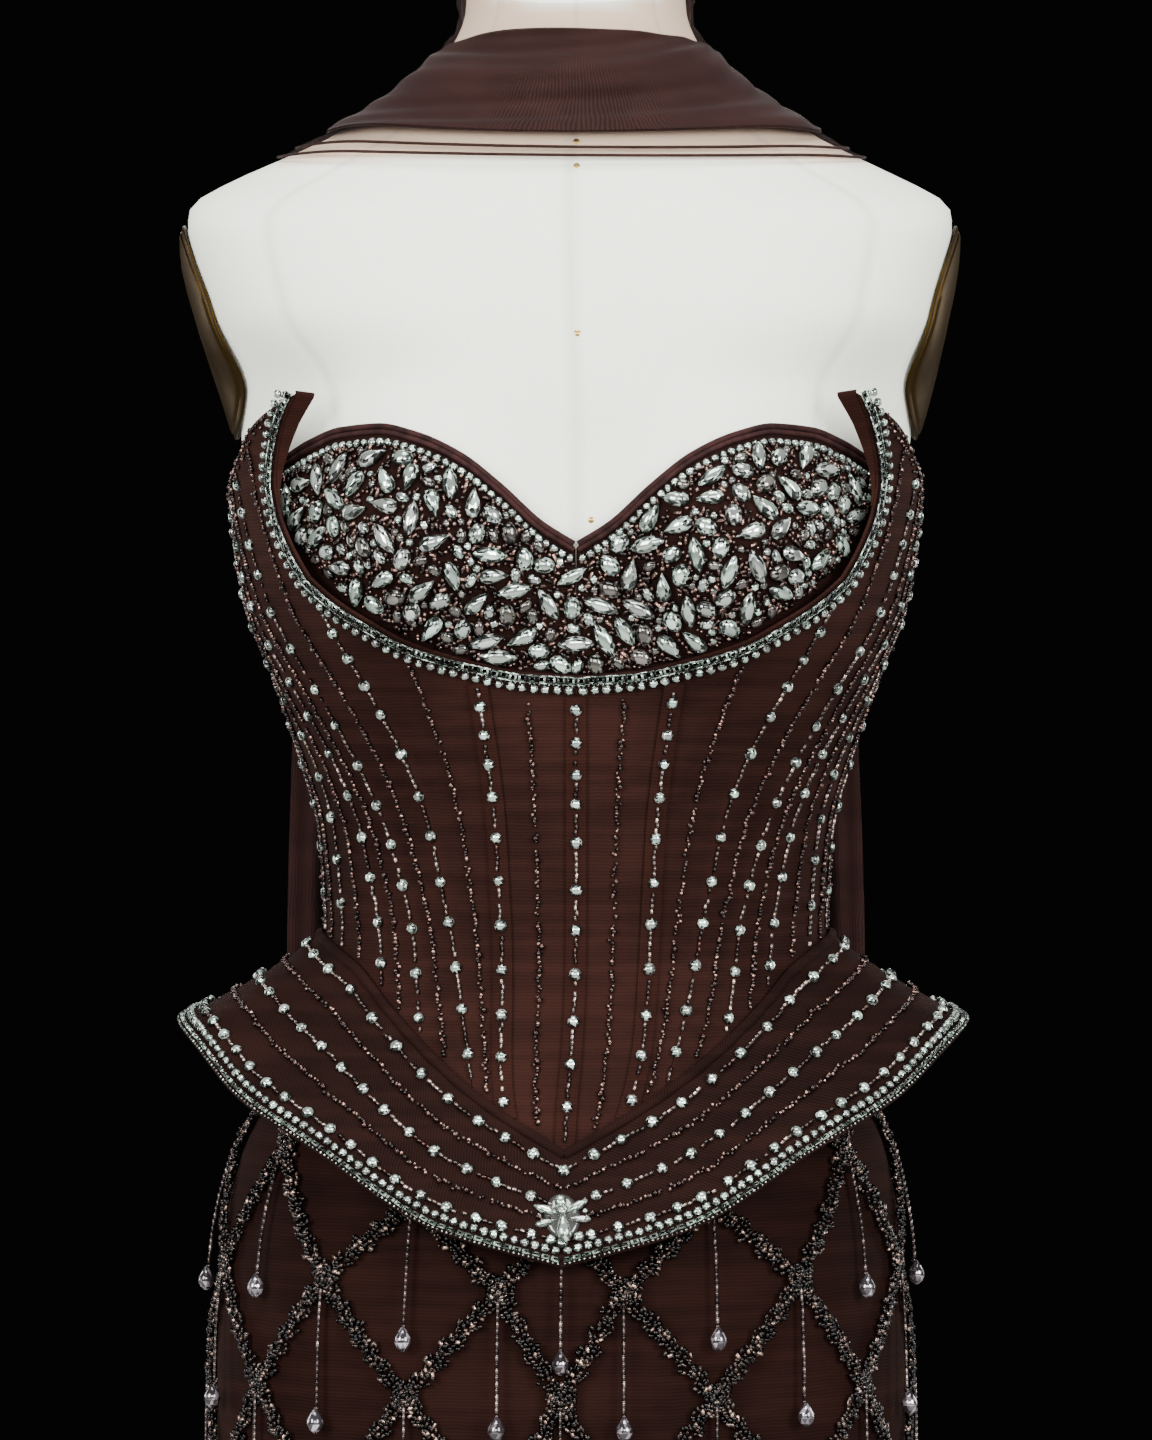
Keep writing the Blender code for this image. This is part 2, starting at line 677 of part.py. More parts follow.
def peplum():
    v = np.linspace(0.0, 1.0, 6)[:, None]
    trim_v = np.array((0.0, 1.0))[:, None]
    for name, first, last, columns in (
        ("peplum_front_right", 0.0, 90.0, 11), ("peplum_back_right", 90.0, 180.0, 11),
        ("peplum_back_left", -180.0, -90.0, 11), ("peplum_front_left", -90.0, 0.0, 11),
    ):
        angle = np.linspace(first + SEAM_TURN, last - SEAM_TURN, columns)
        cloth(name, peplum_point(angle, v), PEPLUM_WALL, "tulle")
    for name, first, last in (("right", 0.0, 180.0), ("left", -180.0, 0.0)):
        angle = np.linspace(first + SEAM_TURN, last - SEAM_TURN, 21)
        angle[0] += TRIM_TURN
        angle[-1] -= TRIM_TURN
        length = np.linalg.norm(peplum_point(angle, 1.0) - peplum_point(angle, 0.8), axis=-1)
        top = 1.0 - 0.2 * TRIM_WIDTH / length
        steps = np.stack((2 * top - 1.0, top, np.ones_like(top)))
        face = raised(peplum_point(angle, steps), PEPLUM_WALL + LAYER_GAP)[1:]
        cloth(f"peplum_trim_{name}", face, TRIM_WALL, "crystal")
    brooch()


def brooch():
    """A domed blossom of pear-shaped stones at the point of the peplum."""
    petals, around = 8, 24
    middle = peplum_point(np.array(0.0), 0.52)
    below = peplum_point(np.array(0.0), 0.72)
    down = unit(below - middle)
    right = np.array((1.0, 0.0, 0.0))
    facing = unit(np.cross(down, right))
    middle = middle + facing * (PEPLUM_WALL + LAYER_GAP)
    turn = np.arange(around) * 2 * math.pi / around
    wave = 0.5 + 0.5 * np.cos(petals * turn)
    loops = []
    for reach, rise, cut in (
        (0.14, 0.0068, 0.0), (0.60, 0.0062, 0.18), (1.0, 0.0024, 0.34), (0.96, 0.0004, 0.34),
        (0.14, 0.0004, 0.0),
    ):
        radius = reach * (1.0 - cut + cut * wave)
        loops.append(
            middle + (np.cos(turn) * radius * 0.0115)[:, None] * right
            - (np.sin(turn) * radius * 0.0150)[:, None] * down
            + (rise * (0.85 + 0.15 * wave))[:, None] * facing
        )
    rings("brooch", np.array(loops), "crystal")


# ---------------------------------------------------------------- skirt

def skirt():
    rows = np.array(SKIRT_ROWS)[:, None]
    for name, first, last in (("skirt_front", -90.0, 90.0), ("skirt_back", 90.0, 270.0)):
        angle = np.linspace(first, last, 19)
        turn = np.where(angle > 180.0, 360.0 - angle, np.abs(angle))
        top = seam(turn) - SKIRT_TOP_GAP
        height = top * (1 - rows) + (KNEE + GAP) * rows
        angle, height = shrink(np.broadcast_to(angle, height.shape), height)
        cloth(name, skin(angle, height, np.full(height.shape, EASE)), SKIRT_WALL, "tulle")
    v = np.linspace(0.0, 1.0, 6)[:, None]
    for name, first, last in (("flounce_front", -90.0, 90.0), ("flounce_back", 90.0, 270.0)):
        angle = np.linspace(first + SEAM_TURN, last - SEAM_TURN, 37)
        cloth(name, flounce_point(angle, v), SKIRT_WALL, "tulle")


def flounce_point(angle, v):
    """Inner face of the flared foot: v is 0 at the knee seam and 1 at the hem."""
    turn = np.radians(angle)
    knee = skin(angle, np.full(angle.shape, KNEE), np.full(angle.shape, EASE))
    hem = np.stack((
        HEM_HALF_WIDTH * np.sin(turn), -HEM_DEPTH * np.cos(turn), np.full(angle.shape, HEM)
    ), axis=-1)
    away = np.stack((np.sin(turn), -np.cos(turn), np.zeros_like(turn)), axis=-1)
    v = np.asarray(v)[..., None]
    points = knee + (hem - knee) * v**FLARE_POWER
    points = points + away * WAVE_DEPTH * v**1.3 * np.cos(WAVES * turn)[:, None]
    points[..., 2] = (KNEE - GAP / 2) * (1 - v[..., 0]) + HEM * v[..., 0]
    return points


# ---------------------------------------------------------------- net of bead ropes

def net_knots():
    """Angle and height of every crossing, row by row, going round from the front."""
    rows = []
    for front, side, back, kind in NET_ROWS:
        half = NET_AT if kind == "at" else NET_BETWEEN
        turns = list(half) + [360.0 - a for a in reversed(half) if 0.0 < a < 180.0]
        levels = np.array(((0.0, front), (24.0, front + (side - front) * 0.2), (60.0, side),
                           (100.0, side), (180.0, back)))
        rows.append([(a, float(along(levels, 1, min(a, 360.0 - a)))) for a in turns])
    return rows


def bead_net():
    """Crossed bead ropes; a strand with a drop bead hangs from every crossing."""
    rows = net_knots()
    for name, keep in (
        ("bead_net_front", lambda a: min(a, 360.0 - a) <= 91.0),
        ("bead_net_back", lambda a: min(a, 360.0 - a) > 91.0),
    ):
        points, faces = [], []

        def put(angle, height, out):
            """Adds a point and gives back its number."""
            points.append((angle, height, out))
            return len(points) - 1

        def side_pair(angle, height):
            return put(angle, height, NET_OUT), put(angle, height, NET_IN)

        def offset(knot, across, up):
            angle, height = knot
            reach = np.linalg.norm(body(angle + 0.5, height) - body(angle - 0.5, height))
            return angle + across / reach, height + up

        corners = {}
        for r, row in enumerate(rows):
            for k, knot in enumerate(row):
                if not keep(knot[0]):
                    continue
                corners[r, k] = [
                    side_pair(*offset(knot, KNOT * x, KNOT * z))
                    for x, z in ((0, 1), (1, 0.1), (0.22, -0.8), (-0.22, -0.8), (-1, 0.1))
                ]
                shape = corners[r, k]
                faces.append(tuple(outer for outer, _ in reversed(shape)))
                faces.append(tuple(inner for _, inner in shape))
                hang(knot, shape[2], shape[3], offset, put, faces)
        used = set()
        for r in range(len(rows) - 1):
            for k, knot in enumerate(rows[r]):
                for other, below in enumerate(rows[r + 1]):
                    turn = (below[0] - knot[0] + 180.0) % 360.0 - 180.0
                    if not 0.0 < abs(turn) < 20.0:
                        continue
                    upper, lower = (1, 2) if turn > 0 else (3, 4)
                    onto = (0, 4) if turn > 0 else (1, 0)
                    start, end = corners.get((r, k)), corners.get((r + 1, other))
                    if start is None and end is None:
                        continue
                    if (start is None or end is None) and name.endswith("front"):
                        continue
                    a = (start[upper], start[lower]) if start else None
                    b = (end[onto[0]], end[onto[1]]) if end else None
                    rope(knot, (knot[0] + turn, below[1]), a, b, offset, side_pair, faces)
                    if start:
                        used.add((r, k, upper))
                    if end:
                        used.add((r + 1, other, 4 if turn > 0 else 0))
        for (r, k), shape in corners.items():
            for i in (0, 1, 3, 4):
                if (r, k, i) in used:
                    continue
                (a_out, a_in), (b_out, b_in) = shape[i], shape[(i + 1) % 5]
                faces.append((a_out, b_out, b_in, a_in))
        table = np.array(points)
        made = mesh_of(name, skin(table[:, 0], table[:, 1], table[:, 2]), faces)
        solid = bmesh.new()
        solid.from_mesh(made)
        bmesh.ops.recalc_face_normals(solid, faces=solid.faces)
        solid.to_mesh(made)
        solid.free()
        add(name, made, "beads", smooth=False)


def rope(high, low, start, end, offset, side_pair, faces):
    """A four-sided rope between two crossings, bent once in its middle."""
    middle = ((high[0] + low[0]) / 2, (high[1] + low[1]) / 2)
    reach = np.linalg.norm(body(middle[0] + 0.5, middle[1]) - body(middle[0] - 0.5, middle[1]))
    way = np.array(((low[0] - high[0]) * reach, low[1] - high[1]))
    way = way / np.linalg.norm(way)
    square = np.array((-way[1], way[0]))

    def section(share):
        at = (high[0] + (low[0] - high[0]) * share, high[1] + (low[1] - high[1]) * share)
        return [
            side_pair(*offset(at, sign * square[0] * ROPE_HALF, sign * square[1] * ROPE_HALF))
            for sign in (1, -1)
        ]

    parts = [start if start else section(0.16), section(0.5), end if end else section(0.84)]
    loops = [(p[0][0], p[1][0], p[1][1], p[0][1]) for p in parts]
    for first, second in zip(loops, loops[1:]):
        for i in range(4):
            j = (i + 1) % 4
            faces.append((first[i], second[i], second[j], first[j]))
    if start is None:
        faces.append(loops[0])
    if end is None:
        faces.append(tuple(reversed(loops[-1])))


def hang(knot, left, right, offset, put, faces):
    """A strand from the foot of a crossing down to its faceted drop bead."""
    above = (left[0], right[0], right[1], left[1])
    reach = STRAND_LENGTH
    parts = ((STRAND_HALF, reach * 0.55, 0.0052, 0.0030), (DROP_HALF, reach, 0.0062, 0.0064))
    for half, fall, near, thick in parts:
        level_loop = []
        for sign, out in ((1, near + thick), (-1, near + thick), (-1, near), (1, near)):
            level_loop.append(put(*offset(knot, sign * half, -KNOT * 0.8 - fall), out))
        for i in range(4):
            j = (i + 1) % 4
            faces.append((above[i], above[j], level_loop[j], level_loop[i]))
        above = tuple(level_loop)
    tip = put(*offset(knot, 0.0, -KNOT * 0.8 - reach - DROP_LENGTH * 0.4), 0.0094)
    for i in range(4):
        faces.append((above[i], above[(i + 1) % 4], tip))


# ---------------------------------------------------------------- stole

def wrap_levels(angle):
    """Heights of the stole's upper edge and hem at an angle."""
    share = np.clip(np.abs(angle) / 90.0, 0.0, 1.15) ** 2
    top = WRAP_TOP_FRONT + (WRAP_TOP_SIDE - WRAP_TOP_FRONT) * share
    hem = WRAP_HEM + (WRAP_HEM_SIDE - WRAP_HEM) * share
    return top, hem


def wrap_out(v, angle):
    """Soft folds that run along the stole over the neck and shoulders."""
    return WRAP_OUT + WRAP_FOLD * (1 + np.sin(2 * math.pi * (2.6 * v + 0.1 * np.sin(
        np.radians(2 * angle)))))


def stole():
    v = np.linspace(0.0, 1.0, 7)[:, None]
    angle = np.linspace(-WRAP_END, WRAP_END, 27)
    top, hem = wrap_levels(angle)
    height = top * (1 - v) + hem * v
    turn = np.broadcast_to(angle, height.shape)
    cloth("stole_neck_wrap", skin(turn, height, wrap_out(v, turn)), STOLE_WALL, "stole")
    for side, word in ((1, "right"), (-1, "left")):
        points = tail_points(side)
        cloth(f"stole_tail_{word}", points[:, ::-1] if side > 0 else points, STOLE_WALL, "stole")


def tail_points(side):
    """A tail that falls behind the shoulder; columns run from the neck to the arm."""
    columns, rows = 9, 11
    u = np.linspace(0.0, 1.0, columns)
    v = np.linspace(0.0, 1.0, rows)[:, None] ** TAIL_ROW_POWER
    top, hem = wrap_levels(np.full(columns, WRAP_END))
    start_height = top * (1 - u) + hem * u
    turn = np.full(columns, WRAP_END + TAIL_TURN) * side
    start = skin(turn, start_height, wrap_out(u, turn))
    height = start_height * (1 - v) + TAIL_BOTTOM * v
    over = ease((start_height - height) / 0.045)
    wide = TAIL_X[0] + (TAIL_X[1] - TAIL_X[0]) * u
    x = start[:, 0] + (side * wide - start[:, 0]) * ease(v * 1.6)
    lean = TAIL_SHOULDER_Y[0] + (TAIL_SHOULDER_Y[1] - TAIL_SHOULDER_Y[0]) * u
    end = TAIL_END_Y[0] + (TAIL_END_Y[1] - TAIL_END_Y[0]) * u**2
    y = start[:, 1] * (1 - over) + lean * over
    y = y + (end - lean) * ease(v * 1.8)
    y = y + TAIL_WAVE * (1 + np.sin(2 * math.pi * TAIL_WAVES * u + 0.7)) * ease(v * 3.0)
    share = np.clip((x - along(BODY, 4, height)) / along(BODY, 1, height), -0.98, 0.98)
    back = along(BODY, 3, height) * section_depth(share, height)
    y = np.where(v > 0, np.maximum(y, back + TAIL_CLEAR * (0.8 + 0.2 * over)), y)
    return np.stack((x, y, height), axis=-1)


def main():
    for old in list(bpy.data.objects):
        bpy.data.objects.remove(old, do_unlink=True)
    collection = bpy.data.collections.new(MODEL)
    bpy.context.scene.collection.children.link(collection)
    dress_form()
    cups()
    corset()
    peplum()
    skirt()
    bead_net()
    stole()


main()
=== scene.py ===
"""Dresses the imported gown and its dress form: cloth, stones, beads, light and camera.

Metres, +Z up, the front faces -Y and +X is to the viewer's right.  The body surface is a
stack of half ellipses with two bust mounds.  A place on it is an angle in degrees, 0 at the
centre front, 90 at the +X side and 180 at the centre back, with a height.  Cloth lies at
set distances from that surface, and beads and stones lie on the cloth.
"""
import math

import bpy
import numpy as np
from bpy.props import FloatProperty, FloatVectorProperty, PointerProperty
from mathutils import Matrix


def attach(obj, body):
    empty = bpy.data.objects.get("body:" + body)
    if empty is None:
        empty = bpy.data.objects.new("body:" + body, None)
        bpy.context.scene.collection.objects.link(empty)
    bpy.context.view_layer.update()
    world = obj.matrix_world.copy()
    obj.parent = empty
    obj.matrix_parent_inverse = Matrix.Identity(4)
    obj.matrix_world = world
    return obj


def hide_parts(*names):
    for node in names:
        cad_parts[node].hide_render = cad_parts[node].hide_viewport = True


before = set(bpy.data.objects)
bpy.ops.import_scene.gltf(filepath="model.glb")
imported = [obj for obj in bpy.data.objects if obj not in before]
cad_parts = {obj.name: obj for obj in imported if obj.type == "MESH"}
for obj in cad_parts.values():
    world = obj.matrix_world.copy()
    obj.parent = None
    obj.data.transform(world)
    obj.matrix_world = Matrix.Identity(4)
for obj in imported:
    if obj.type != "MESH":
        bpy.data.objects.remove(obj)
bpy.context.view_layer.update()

bl_info = {
    "name": "Beaded mermaid gown",
    "version": (1, 0, 0),
    "blender": (4, 5, 0),
    "location": "View3D > Sidebar > Gown",
    "description": "Builds the cloth, stones and beads of a mermaid gown on a dress form",
    "category": "Object",
}

SIDES = ((1, "right"), (-1, "left"))

# ---------------- sizes of the cloth

EASE = 0.0015              # form to cloth
CORSET_WALL = 0.0016
SKIRT_WALL = 0.0012
PEPLUM_WALL = 0.0018
CUP_WALL = 0.0015
STOLE_WALL = 0.0010
BONING_WALL = 0.0010
SEAM_GAP = 0.0003
FORM_INSET = 0.0012        # how far the form draws in where the gown covers it
FORM_INSET_TOP = 1.300
FORM_INSET_FADE = 0.060
NECK_TOP = 1.600
FORM_BOTTOM = 0.740
POLE_RADIUS = 0.015
BASE_RADIUS = 0.210
BASE_HEIGHT = 0.028
KNEE = 0.480
HEM = 0.012

# the body surface, one row for each section: height, half width, front, back, shift
BODY = np.array((
    (0.460, 0.1455, 0.103, 0.113, -0.0035),
    (0.500, 0.1445, 0.102, 0.112, -0.0040),
    (0.580, 0.1475, 0.104, 0.114, -0.0050),
    (0.660, 0.1560, 0.109, 0.119, -0.0060),
    (0.740, 0.1645, 0.114, 0.125, -0.0070),
    (0.820, 0.1690, 0.118, 0.132, -0.0075),
    (0.880, 0.1690, 0.117, 0.133, -0.0075),
    (0.930, 0.1665, 0.113, 0.125, -0.0070),
    (0.970, 0.1590, 0.107, 0.113, -0.0060),
    (1.000, 0.1465, 0.100, 0.103, -0.0045),
    (1.030, 0.1325, 0.093, 0.092, -0.0020),
    (1.060, 0.1245, 0.088, 0.085, -0.0005),
    (1.090, 0.1220, 0.086, 0.082, 0.0),
    (1.130, 0.1240, 0.090, 0.085, 0.0),
    (1.170, 0.1310, 0.095, 0.090, 0.0),
    (1.210, 0.1440, 0.101, 0.095, 0.0),
    (1.250, 0.1590, 0.106, 0.099, 0.0),
    (1.290, 0.1650, 0.109, 0.103, 0.0),
    (1.340, 0.1685, 0.109, 0.106, 0.0),
    (1.390, 0.1795, 0.103, 0.104, -0.002),
    (1.420, 0.1875, 0.095, 0.099, -0.003),
    (1.438, 0.1905, 0.089, 0.095, -0.003),
    (1.446, 0.1895, 0.086, 0.092, -0.003),
    (1.452, 0.1815, 0.083, 0.090, -0.003),
    (1.460, 0.1660, 0.079, 0.087, -0.003),
    (1.470, 0.1440, 0.075, 0.083, -0.002),
    (1.480, 0.1230, 0.071, 0.079, -0.001),
    (1.500, 0.0925, 0.064, 0.071, 0.0),
    (1.520, 0.0660, 0.057, 0.064, 0.0),
    (1.545, 0.0550, 0.052, 0.058, 0.0),
    (1.600, 0.0530, 0.048, 0.054, 0.0),
))
PLATE_HEIGHT = 1.3835
PLATE_HALF_HEIGHT = 0.0535
PLATE_HALF_DEPTH = 0.0440
# the arm plate's rings, inner face first: share of its size, distance off the form
PLATE_RINGS = (
    (0.10, 0.0012), (0.50, 0.0014), (0.78, 0.0015), (0.96, 0.0013), (0.99, 0.0014),
    (1.0, 0.0018), (1.0, 0.0026), (0.985, 0.0031), (0.95, 0.0034), (0.94, 0.0042),
    (0.90, 0.0050), (0.76, 0.0064), (0.62, 0.0074), (0.40, 0.0084), (0.10, 0.0088),
)
CORNER = 0.12              # how much squarer the chest's sections are at the armholes
CORNER_START = 1.350
CORNER_RISE = 0.040
CORNER_END = 1.430
CORNER_FALL = 0.030
BUST_RISE = 0.034
BUST_OFFSET = 0.084
BUST_HEIGHT = 1.272
BUST_SPREAD = 0.048
BUST_TALL = 0.056

# the V seam between corset and peplum: angle, height
SEAM = np.array((
    (0, 0.978), (15, 1.0012), (30, 1.0245), (45, 1.0477), (58, 1.0663),
    (75, 1.076), (90, 1.080), (130, 1.072), (180, 1.060),
))
# the peplum's lower edge: angle, height, flare
PEPLUM = np.array((
    (0, 0.9290, 0.018), (20, 0.9466, 0.020), (40, 0.9795, 0.028),
    (60, 1.0060, 0.043), (80, 1.0350, 0.061), (95, 1.0400, 0.063),
    (120, 1.0240, 0.048), (150, 0.9960, 0.032), (180, 0.9800, 0.026),
))
PEPLUM_CURL = 1.25
PEPLUM_LAP = 0.004
PEPLUM_CLEAR = 0.0038
PEPLUM_RIB = 0.0003        # the soft channels between the peplum's lines
ROLL_HALF = 0.0024         # half the width of the rolled seam

# the crystal lines of the corset: height, then each line's angle from the one beside the
# centre front to the centre back
FAN = np.array((
    (0.990, 10.0, 16.0, 24.0, 36.0, 60.0, 76.0, 93.0, 110.0, 127.0, 145.0, 162.0, 180.0),
    (1.010, 12.6, 18.8, 28.0, 40.0, 62.0, 78.0, 94.0, 111.0, 128.0, 146.0, 163.0, 180.0),
    (1.030, 14.5, 22.0, 32.4, 43.5, 63.5, 79.0, 95.0, 112.0, 129.0, 147.0, 163.0, 180.0),
    (1.050, 15.6, 25.0, 36.0, 46.6, 64.5, 80.0, 96.0, 113.0, 130.0, 147.0, 164.0, 180.0),
    (1.100, 17.0, 30.5, 41.0, 51.5, 67.0, 82.0, 98.0, 115.0, 132.0, 148.0, 164.0, 180.0),
    (1.165, 18.0, 36.7, 51.0, 59.5, 70.5, 87.0, 103.0, 118.0, 134.0, 150.0, 165.0, 180.0),
    (1.225, 19.3, 45.0, 61.5, 72.0, 83.0, 97.0, 110.0, 124.0, 138.0, 152.0, 166.0, 180.0),
    (1.300, 20.0, 50.0, 68.0, 80.0, 90.0, 103.0, 116.0, 129.0, 142.0, 155.0, 167.5, 180.0),
))
# the corset's upper edge as angles and heights: under the cups, up the wing, its top
FRONT_EDGE = np.array((
    (0, 1.2121), (10, 1.2143), (19.6, 1.2206), (31.2, 1.2318), (36.8, 1.2410),
    (43.2, 1.2515), (47.6, 1.2608),
))
WING_EDGE = np.array((
    (47.6, 1.2608), (49.3, 1.2690), (51.0, 1.2793), (52.1, 1.2900), (52.2, 1.3000),
    (51.2, 1.3100), (49.4, 1.3204), (47.2, 1.3315), (44.0, 1.3440),
))
WING_TOP = np.array(((44.0, 1.3440), (55.0, 1.334), (67.0, 1.318), (80.0, 1.306), (90.0, 1.302)))
BACK_TOP = 1.298
WING_FLARE = 0.026
WING_START = 1.200
WING_RISE = 0.150
OVER_CUPS = 0.0026
OVER_START = 1.135
OVER_RISE = 0.050
DEGREE_LENGTH = 0.0025     # a degree round the body as a length

# the cups: angle, height of the top and of the bottom
CUPS = np.array((
    (0, 1.2725, 1.2015), (6.3, 1.2831, 1.202), (13, 1.2998, 1.2035), (19.7, 1.3143, 1.2075),
    (27.2, 1.3241, 1.2125), (34, 1.3286, 1.219), (41.5, 1.3278, 1.230), (49, 1.3228, 1.242),
    (57, 1.3154, 1.246), (76, 1.3030, 1.248),
))
CUP_END = 76.0
BINDING_HALF = 0.0015

# the net on the skirt: heights of each row at the front, the side and the back, and
# whether its crossings lie at the first row's angles or between them
NET_ROWS = (
    (0.950, 0.981, 0.957, "between"),
    (0.915, 0.921, 0.910, "at"),
    (0.864, 0.866, 0.856, "between"),
    (0.806, 0.808, 0.802, "at"),
    (0.751, 0.752, 0.748, "between"),
)
NET_AT = (10.0, 42.0, 74.0, 106.0, 138.0, 170.0)
NET_BETWEEN = (0.0, 25.5, 58.0, 90.0, 122.0, 154.0, 180.0)
NET_OUT = 0.0056           # middle of the ropes off the body
STRAND_FALL = 0.055

# the flared foot of the skirt
WAVES = 12
WAVE_DEPTH = 0.030
HEM_HALF_WIDTH = 0.300
HEM_DEPTH = 0.285
FLARE_POWER = 1.6

# the stole
WRAP_END = 104.0
WRAP_TOP_FRONT = 1.5400
WRAP_TOP_SIDE = 1.5640
WRAP_HEM = 1.4625
WRAP_HEM_SIDE = 1.4700
WRAP_OUT = 0.0030
WRAP_FOLD = 0.0024
TAIL_BOTTOM = 0.800
TAIL_X = (0.050, 0.151)
TAIL_SHOULDER_Y = (0.104, 0.070)
TAIL_END_Y = (0.152, 0.116)
TAIL_CLEAR = 0.0115
TAIL_WAVE = 0.006
TAIL_WAVES = 3


# ---------------- what a user may change

def length(name, description, default):
    """A length property with its default in metres."""
    return FloatProperty(name=name, description=description, default=default, unit="LENGTH")


def watts(name, description, default):
    """The power of a light, with its default in watts."""
    return FloatProperty(name=name, description=description, default=default, unit="POWER")


def colour(name, description, default):
    """A colour property with its linear default."""
    return FloatVectorProperty(
        name=name, description=description, default=default, subtype="COLOR", min=0.0, max=1.0,
    )


class GownSizes(bpy.types.PropertyGroup):
    """Sizes of the stones and beads."""

    crystal: length("Crystal", "Radius of the round crystals in the lines", 0.0030)
    crystal_step: length("Crystal step", "From one crystal to the next in a line", 0.0215)
    chain: length("Chain stone", "Radius of the round stones along the cups' edge", 0.0021)
    seed: length("Seed bead", "Radius of the seed beads", 0.00125)
    bugle: length("Bugle", "Length of the bugle beads", 0.0022)
    rope_bead: length("Rope bead", "Radius of the round beads at the net's crossings", 0.00130)
    rope_turn: length("Rope turn", "Length in which the net's ropes twist once round", 0.0120)
    drop: length("Drop bead", "Radius of the faceted drop beads", 0.0042)
    net_pitch: length("Net pitch", "Distance between the fine ribs of the tulle", 0.0016)


class GownColours(bpy.types.PropertyGroup):
    """Linear colours of the cloth, the beads and the form."""

    tulle: colour("Tulle", "Dark brown tulle of corset and peplum", (0.0165, 0.0058, 0.0043))
    skirt: colour("Skirt", "Reddish brown tulle of the skirt", (0.0105, 0.0034, 0.0024))
    lining: colour("Lining", "Reddish brown under the tulle", (0.0250, 0.0080, 0.0056))
    binding: colour("Binding", "Burgundy edge of the cups", (0.0190, 0.0064, 0.0058))
    stole: colour("Stole", "Brown rose tulle of the stole", (0.0200, 0.0072, 0.0060))
    linen: colour("Linen", "White linen of the form", (0.90, 0.915, 0.81))
    plate: colour("Arm plate", "Ochre brass of the arm plates", (0.044, 0.0240, 0.0035))
    stand: colour("Stand", "Dark metal of pole and base", (0.024, 0.0225, 0.0215))
    copper: colour("Copper bead", "Bright side of the copper beads", (0.62, 0.36, 0.29))
    smoke: colour("Dark bead", "Dark side of the beads", (0.030, 0.0125, 0.010))
    crystal: colour("Crystal", "Tone of the clear stones", (0.79, 1.00, 0.86))


class GownStage(bpy.types.PropertyGroup):
    """Floor and light."""

    floor_radius: length("Floor", "Radius of the floor", 4.0)
    floor: colour("Floor", "Pale floor", (0.42, 0.415, 0.40))
    key: watts("Key light", "Power of each front light", 160.0)
    front: watts("Front light", "Power of the light over the camera", 95.0)
    top: watts("Top light", "Power of the light above", 78.0)
    rim: watts("Side light", "Power of each light beside and behind the gown", 24.0)
    room: FloatProperty(
        name="Room", description="Strength of the even light of the room", default=0.0022,
    )


def sizes():
    """The sizes a user may change."""
    return bpy.context.scene.gown_sizes


def colours():
    """The colours a user may change."""
    return bpy.context.scene.gown_colours


# ---------------- numbers and surfaces

def along(table, column, at):
    """A table's column read smoothly at the first column's values, without overshoot."""
    x = table[:, 0]
    y = table[:, column]
    at = np.clip(np.asarray(at, float), x[0], x[-1])
    step = np.diff(x)
    rise = np.diff(y) / step
    slope = np.zeros_like(y)
    same_way = rise[:-1] * rise[1:] > 0
    both = np.where(same_way, rise[:-1] + rise[1:], 1.0)
    slope[1:-1] = np.where(same_way, 2 * rise[:-1] * rise[1:] / both, 0.0)
    slope[0], slope[-1] = rise[0], rise[-1]
    i = np.clip(np.searchsorted(x, at, side="right") - 1, 0, len(step) - 1)
    t = (at - x[i]) / step[i]
    return (
        (2 * t**3 - 3 * t**2 + 1) * y[i]
        + (t**3 - 2 * t**2 + t) * step[i] * slope[i]
        + (3 * t**2 - 2 * t**3) * y[i + 1]
        + (t**3 - t**2) * step[i] * slope[i + 1]
    )


def ease(t):
    """0 to 1 with a soft start and end."""
    t = np.clip(t, 0.0, 1.0)
    return t * t * (3 - 2 * t)


def unit(v):
    """Vectors brought to length 1."""
    return v / np.maximum(np.linalg.norm(v, axis=-1, keepdims=True), 1e-12)


def way_round(start, end):
    """The shorter turn from one angle to another, in degrees."""
    return (end - start + 180.0) % 360.0 - 180.0


def corner(height):
    """How far a section's corners are filled out, as a share of its size."""
    rise = ease((height - CORNER_START) / CORNER_RISE)
    return CORNER * rise * (1.0 - ease((height - CORNER_END) / CORNER_FALL))


def section_depth(share, height):
    """Depth of a section as a share of its own, at a share of its half width."""
    power = 2.0 + 8.0 * corner(height)
    return (1.0 - np.abs(share) ** power) ** (1.0 / power)


def body(angle, height):
    """Half ellipses of the table's half width, front and back, with a mound each side."""
    angle, height = np.broadcast_arrays(np.asarray(angle, float), np.asarray(height, float))
    turn = np.radians(angle)
    side, front, back, shift = (along(BODY, k, height) for k in (1, 2, 3, 4))
    square = 1.0 + corner(height) * np.sin(2 * turn) ** 2
    x = side * square * np.sin(turn)
    y = -np.where(np.cos(turn) > 0, front, back) * square * np.cos(turn)
    mounds = sum(np.exp(-(((x - s * BUST_OFFSET) / BUST_SPREAD) ** 2)) for s in (-1, 1))
    mounds = mounds * np.exp(-(((height - BUST_HEIGHT) / BUST_TALL) ** 2))
    y = y - BUST_RISE * mounds * np.clip(np.cos(turn) / 0.35, 0.0, 1.0)
    return np.stack((x + shift, y, height), axis=-1)


def skin(angle, height, out):
    """The body surface moved out along its own normal."""
    round_ = body(angle + 0.05, height) - body(angle - 0.05, height)
    up = body(angle, np.asarray(height) + 0.0005) - body(angle, np.asarray(height) - 0.0005)
    return body(angle, height) + unit(np.cross(round_, up)) * np.asarray(out)[..., None]


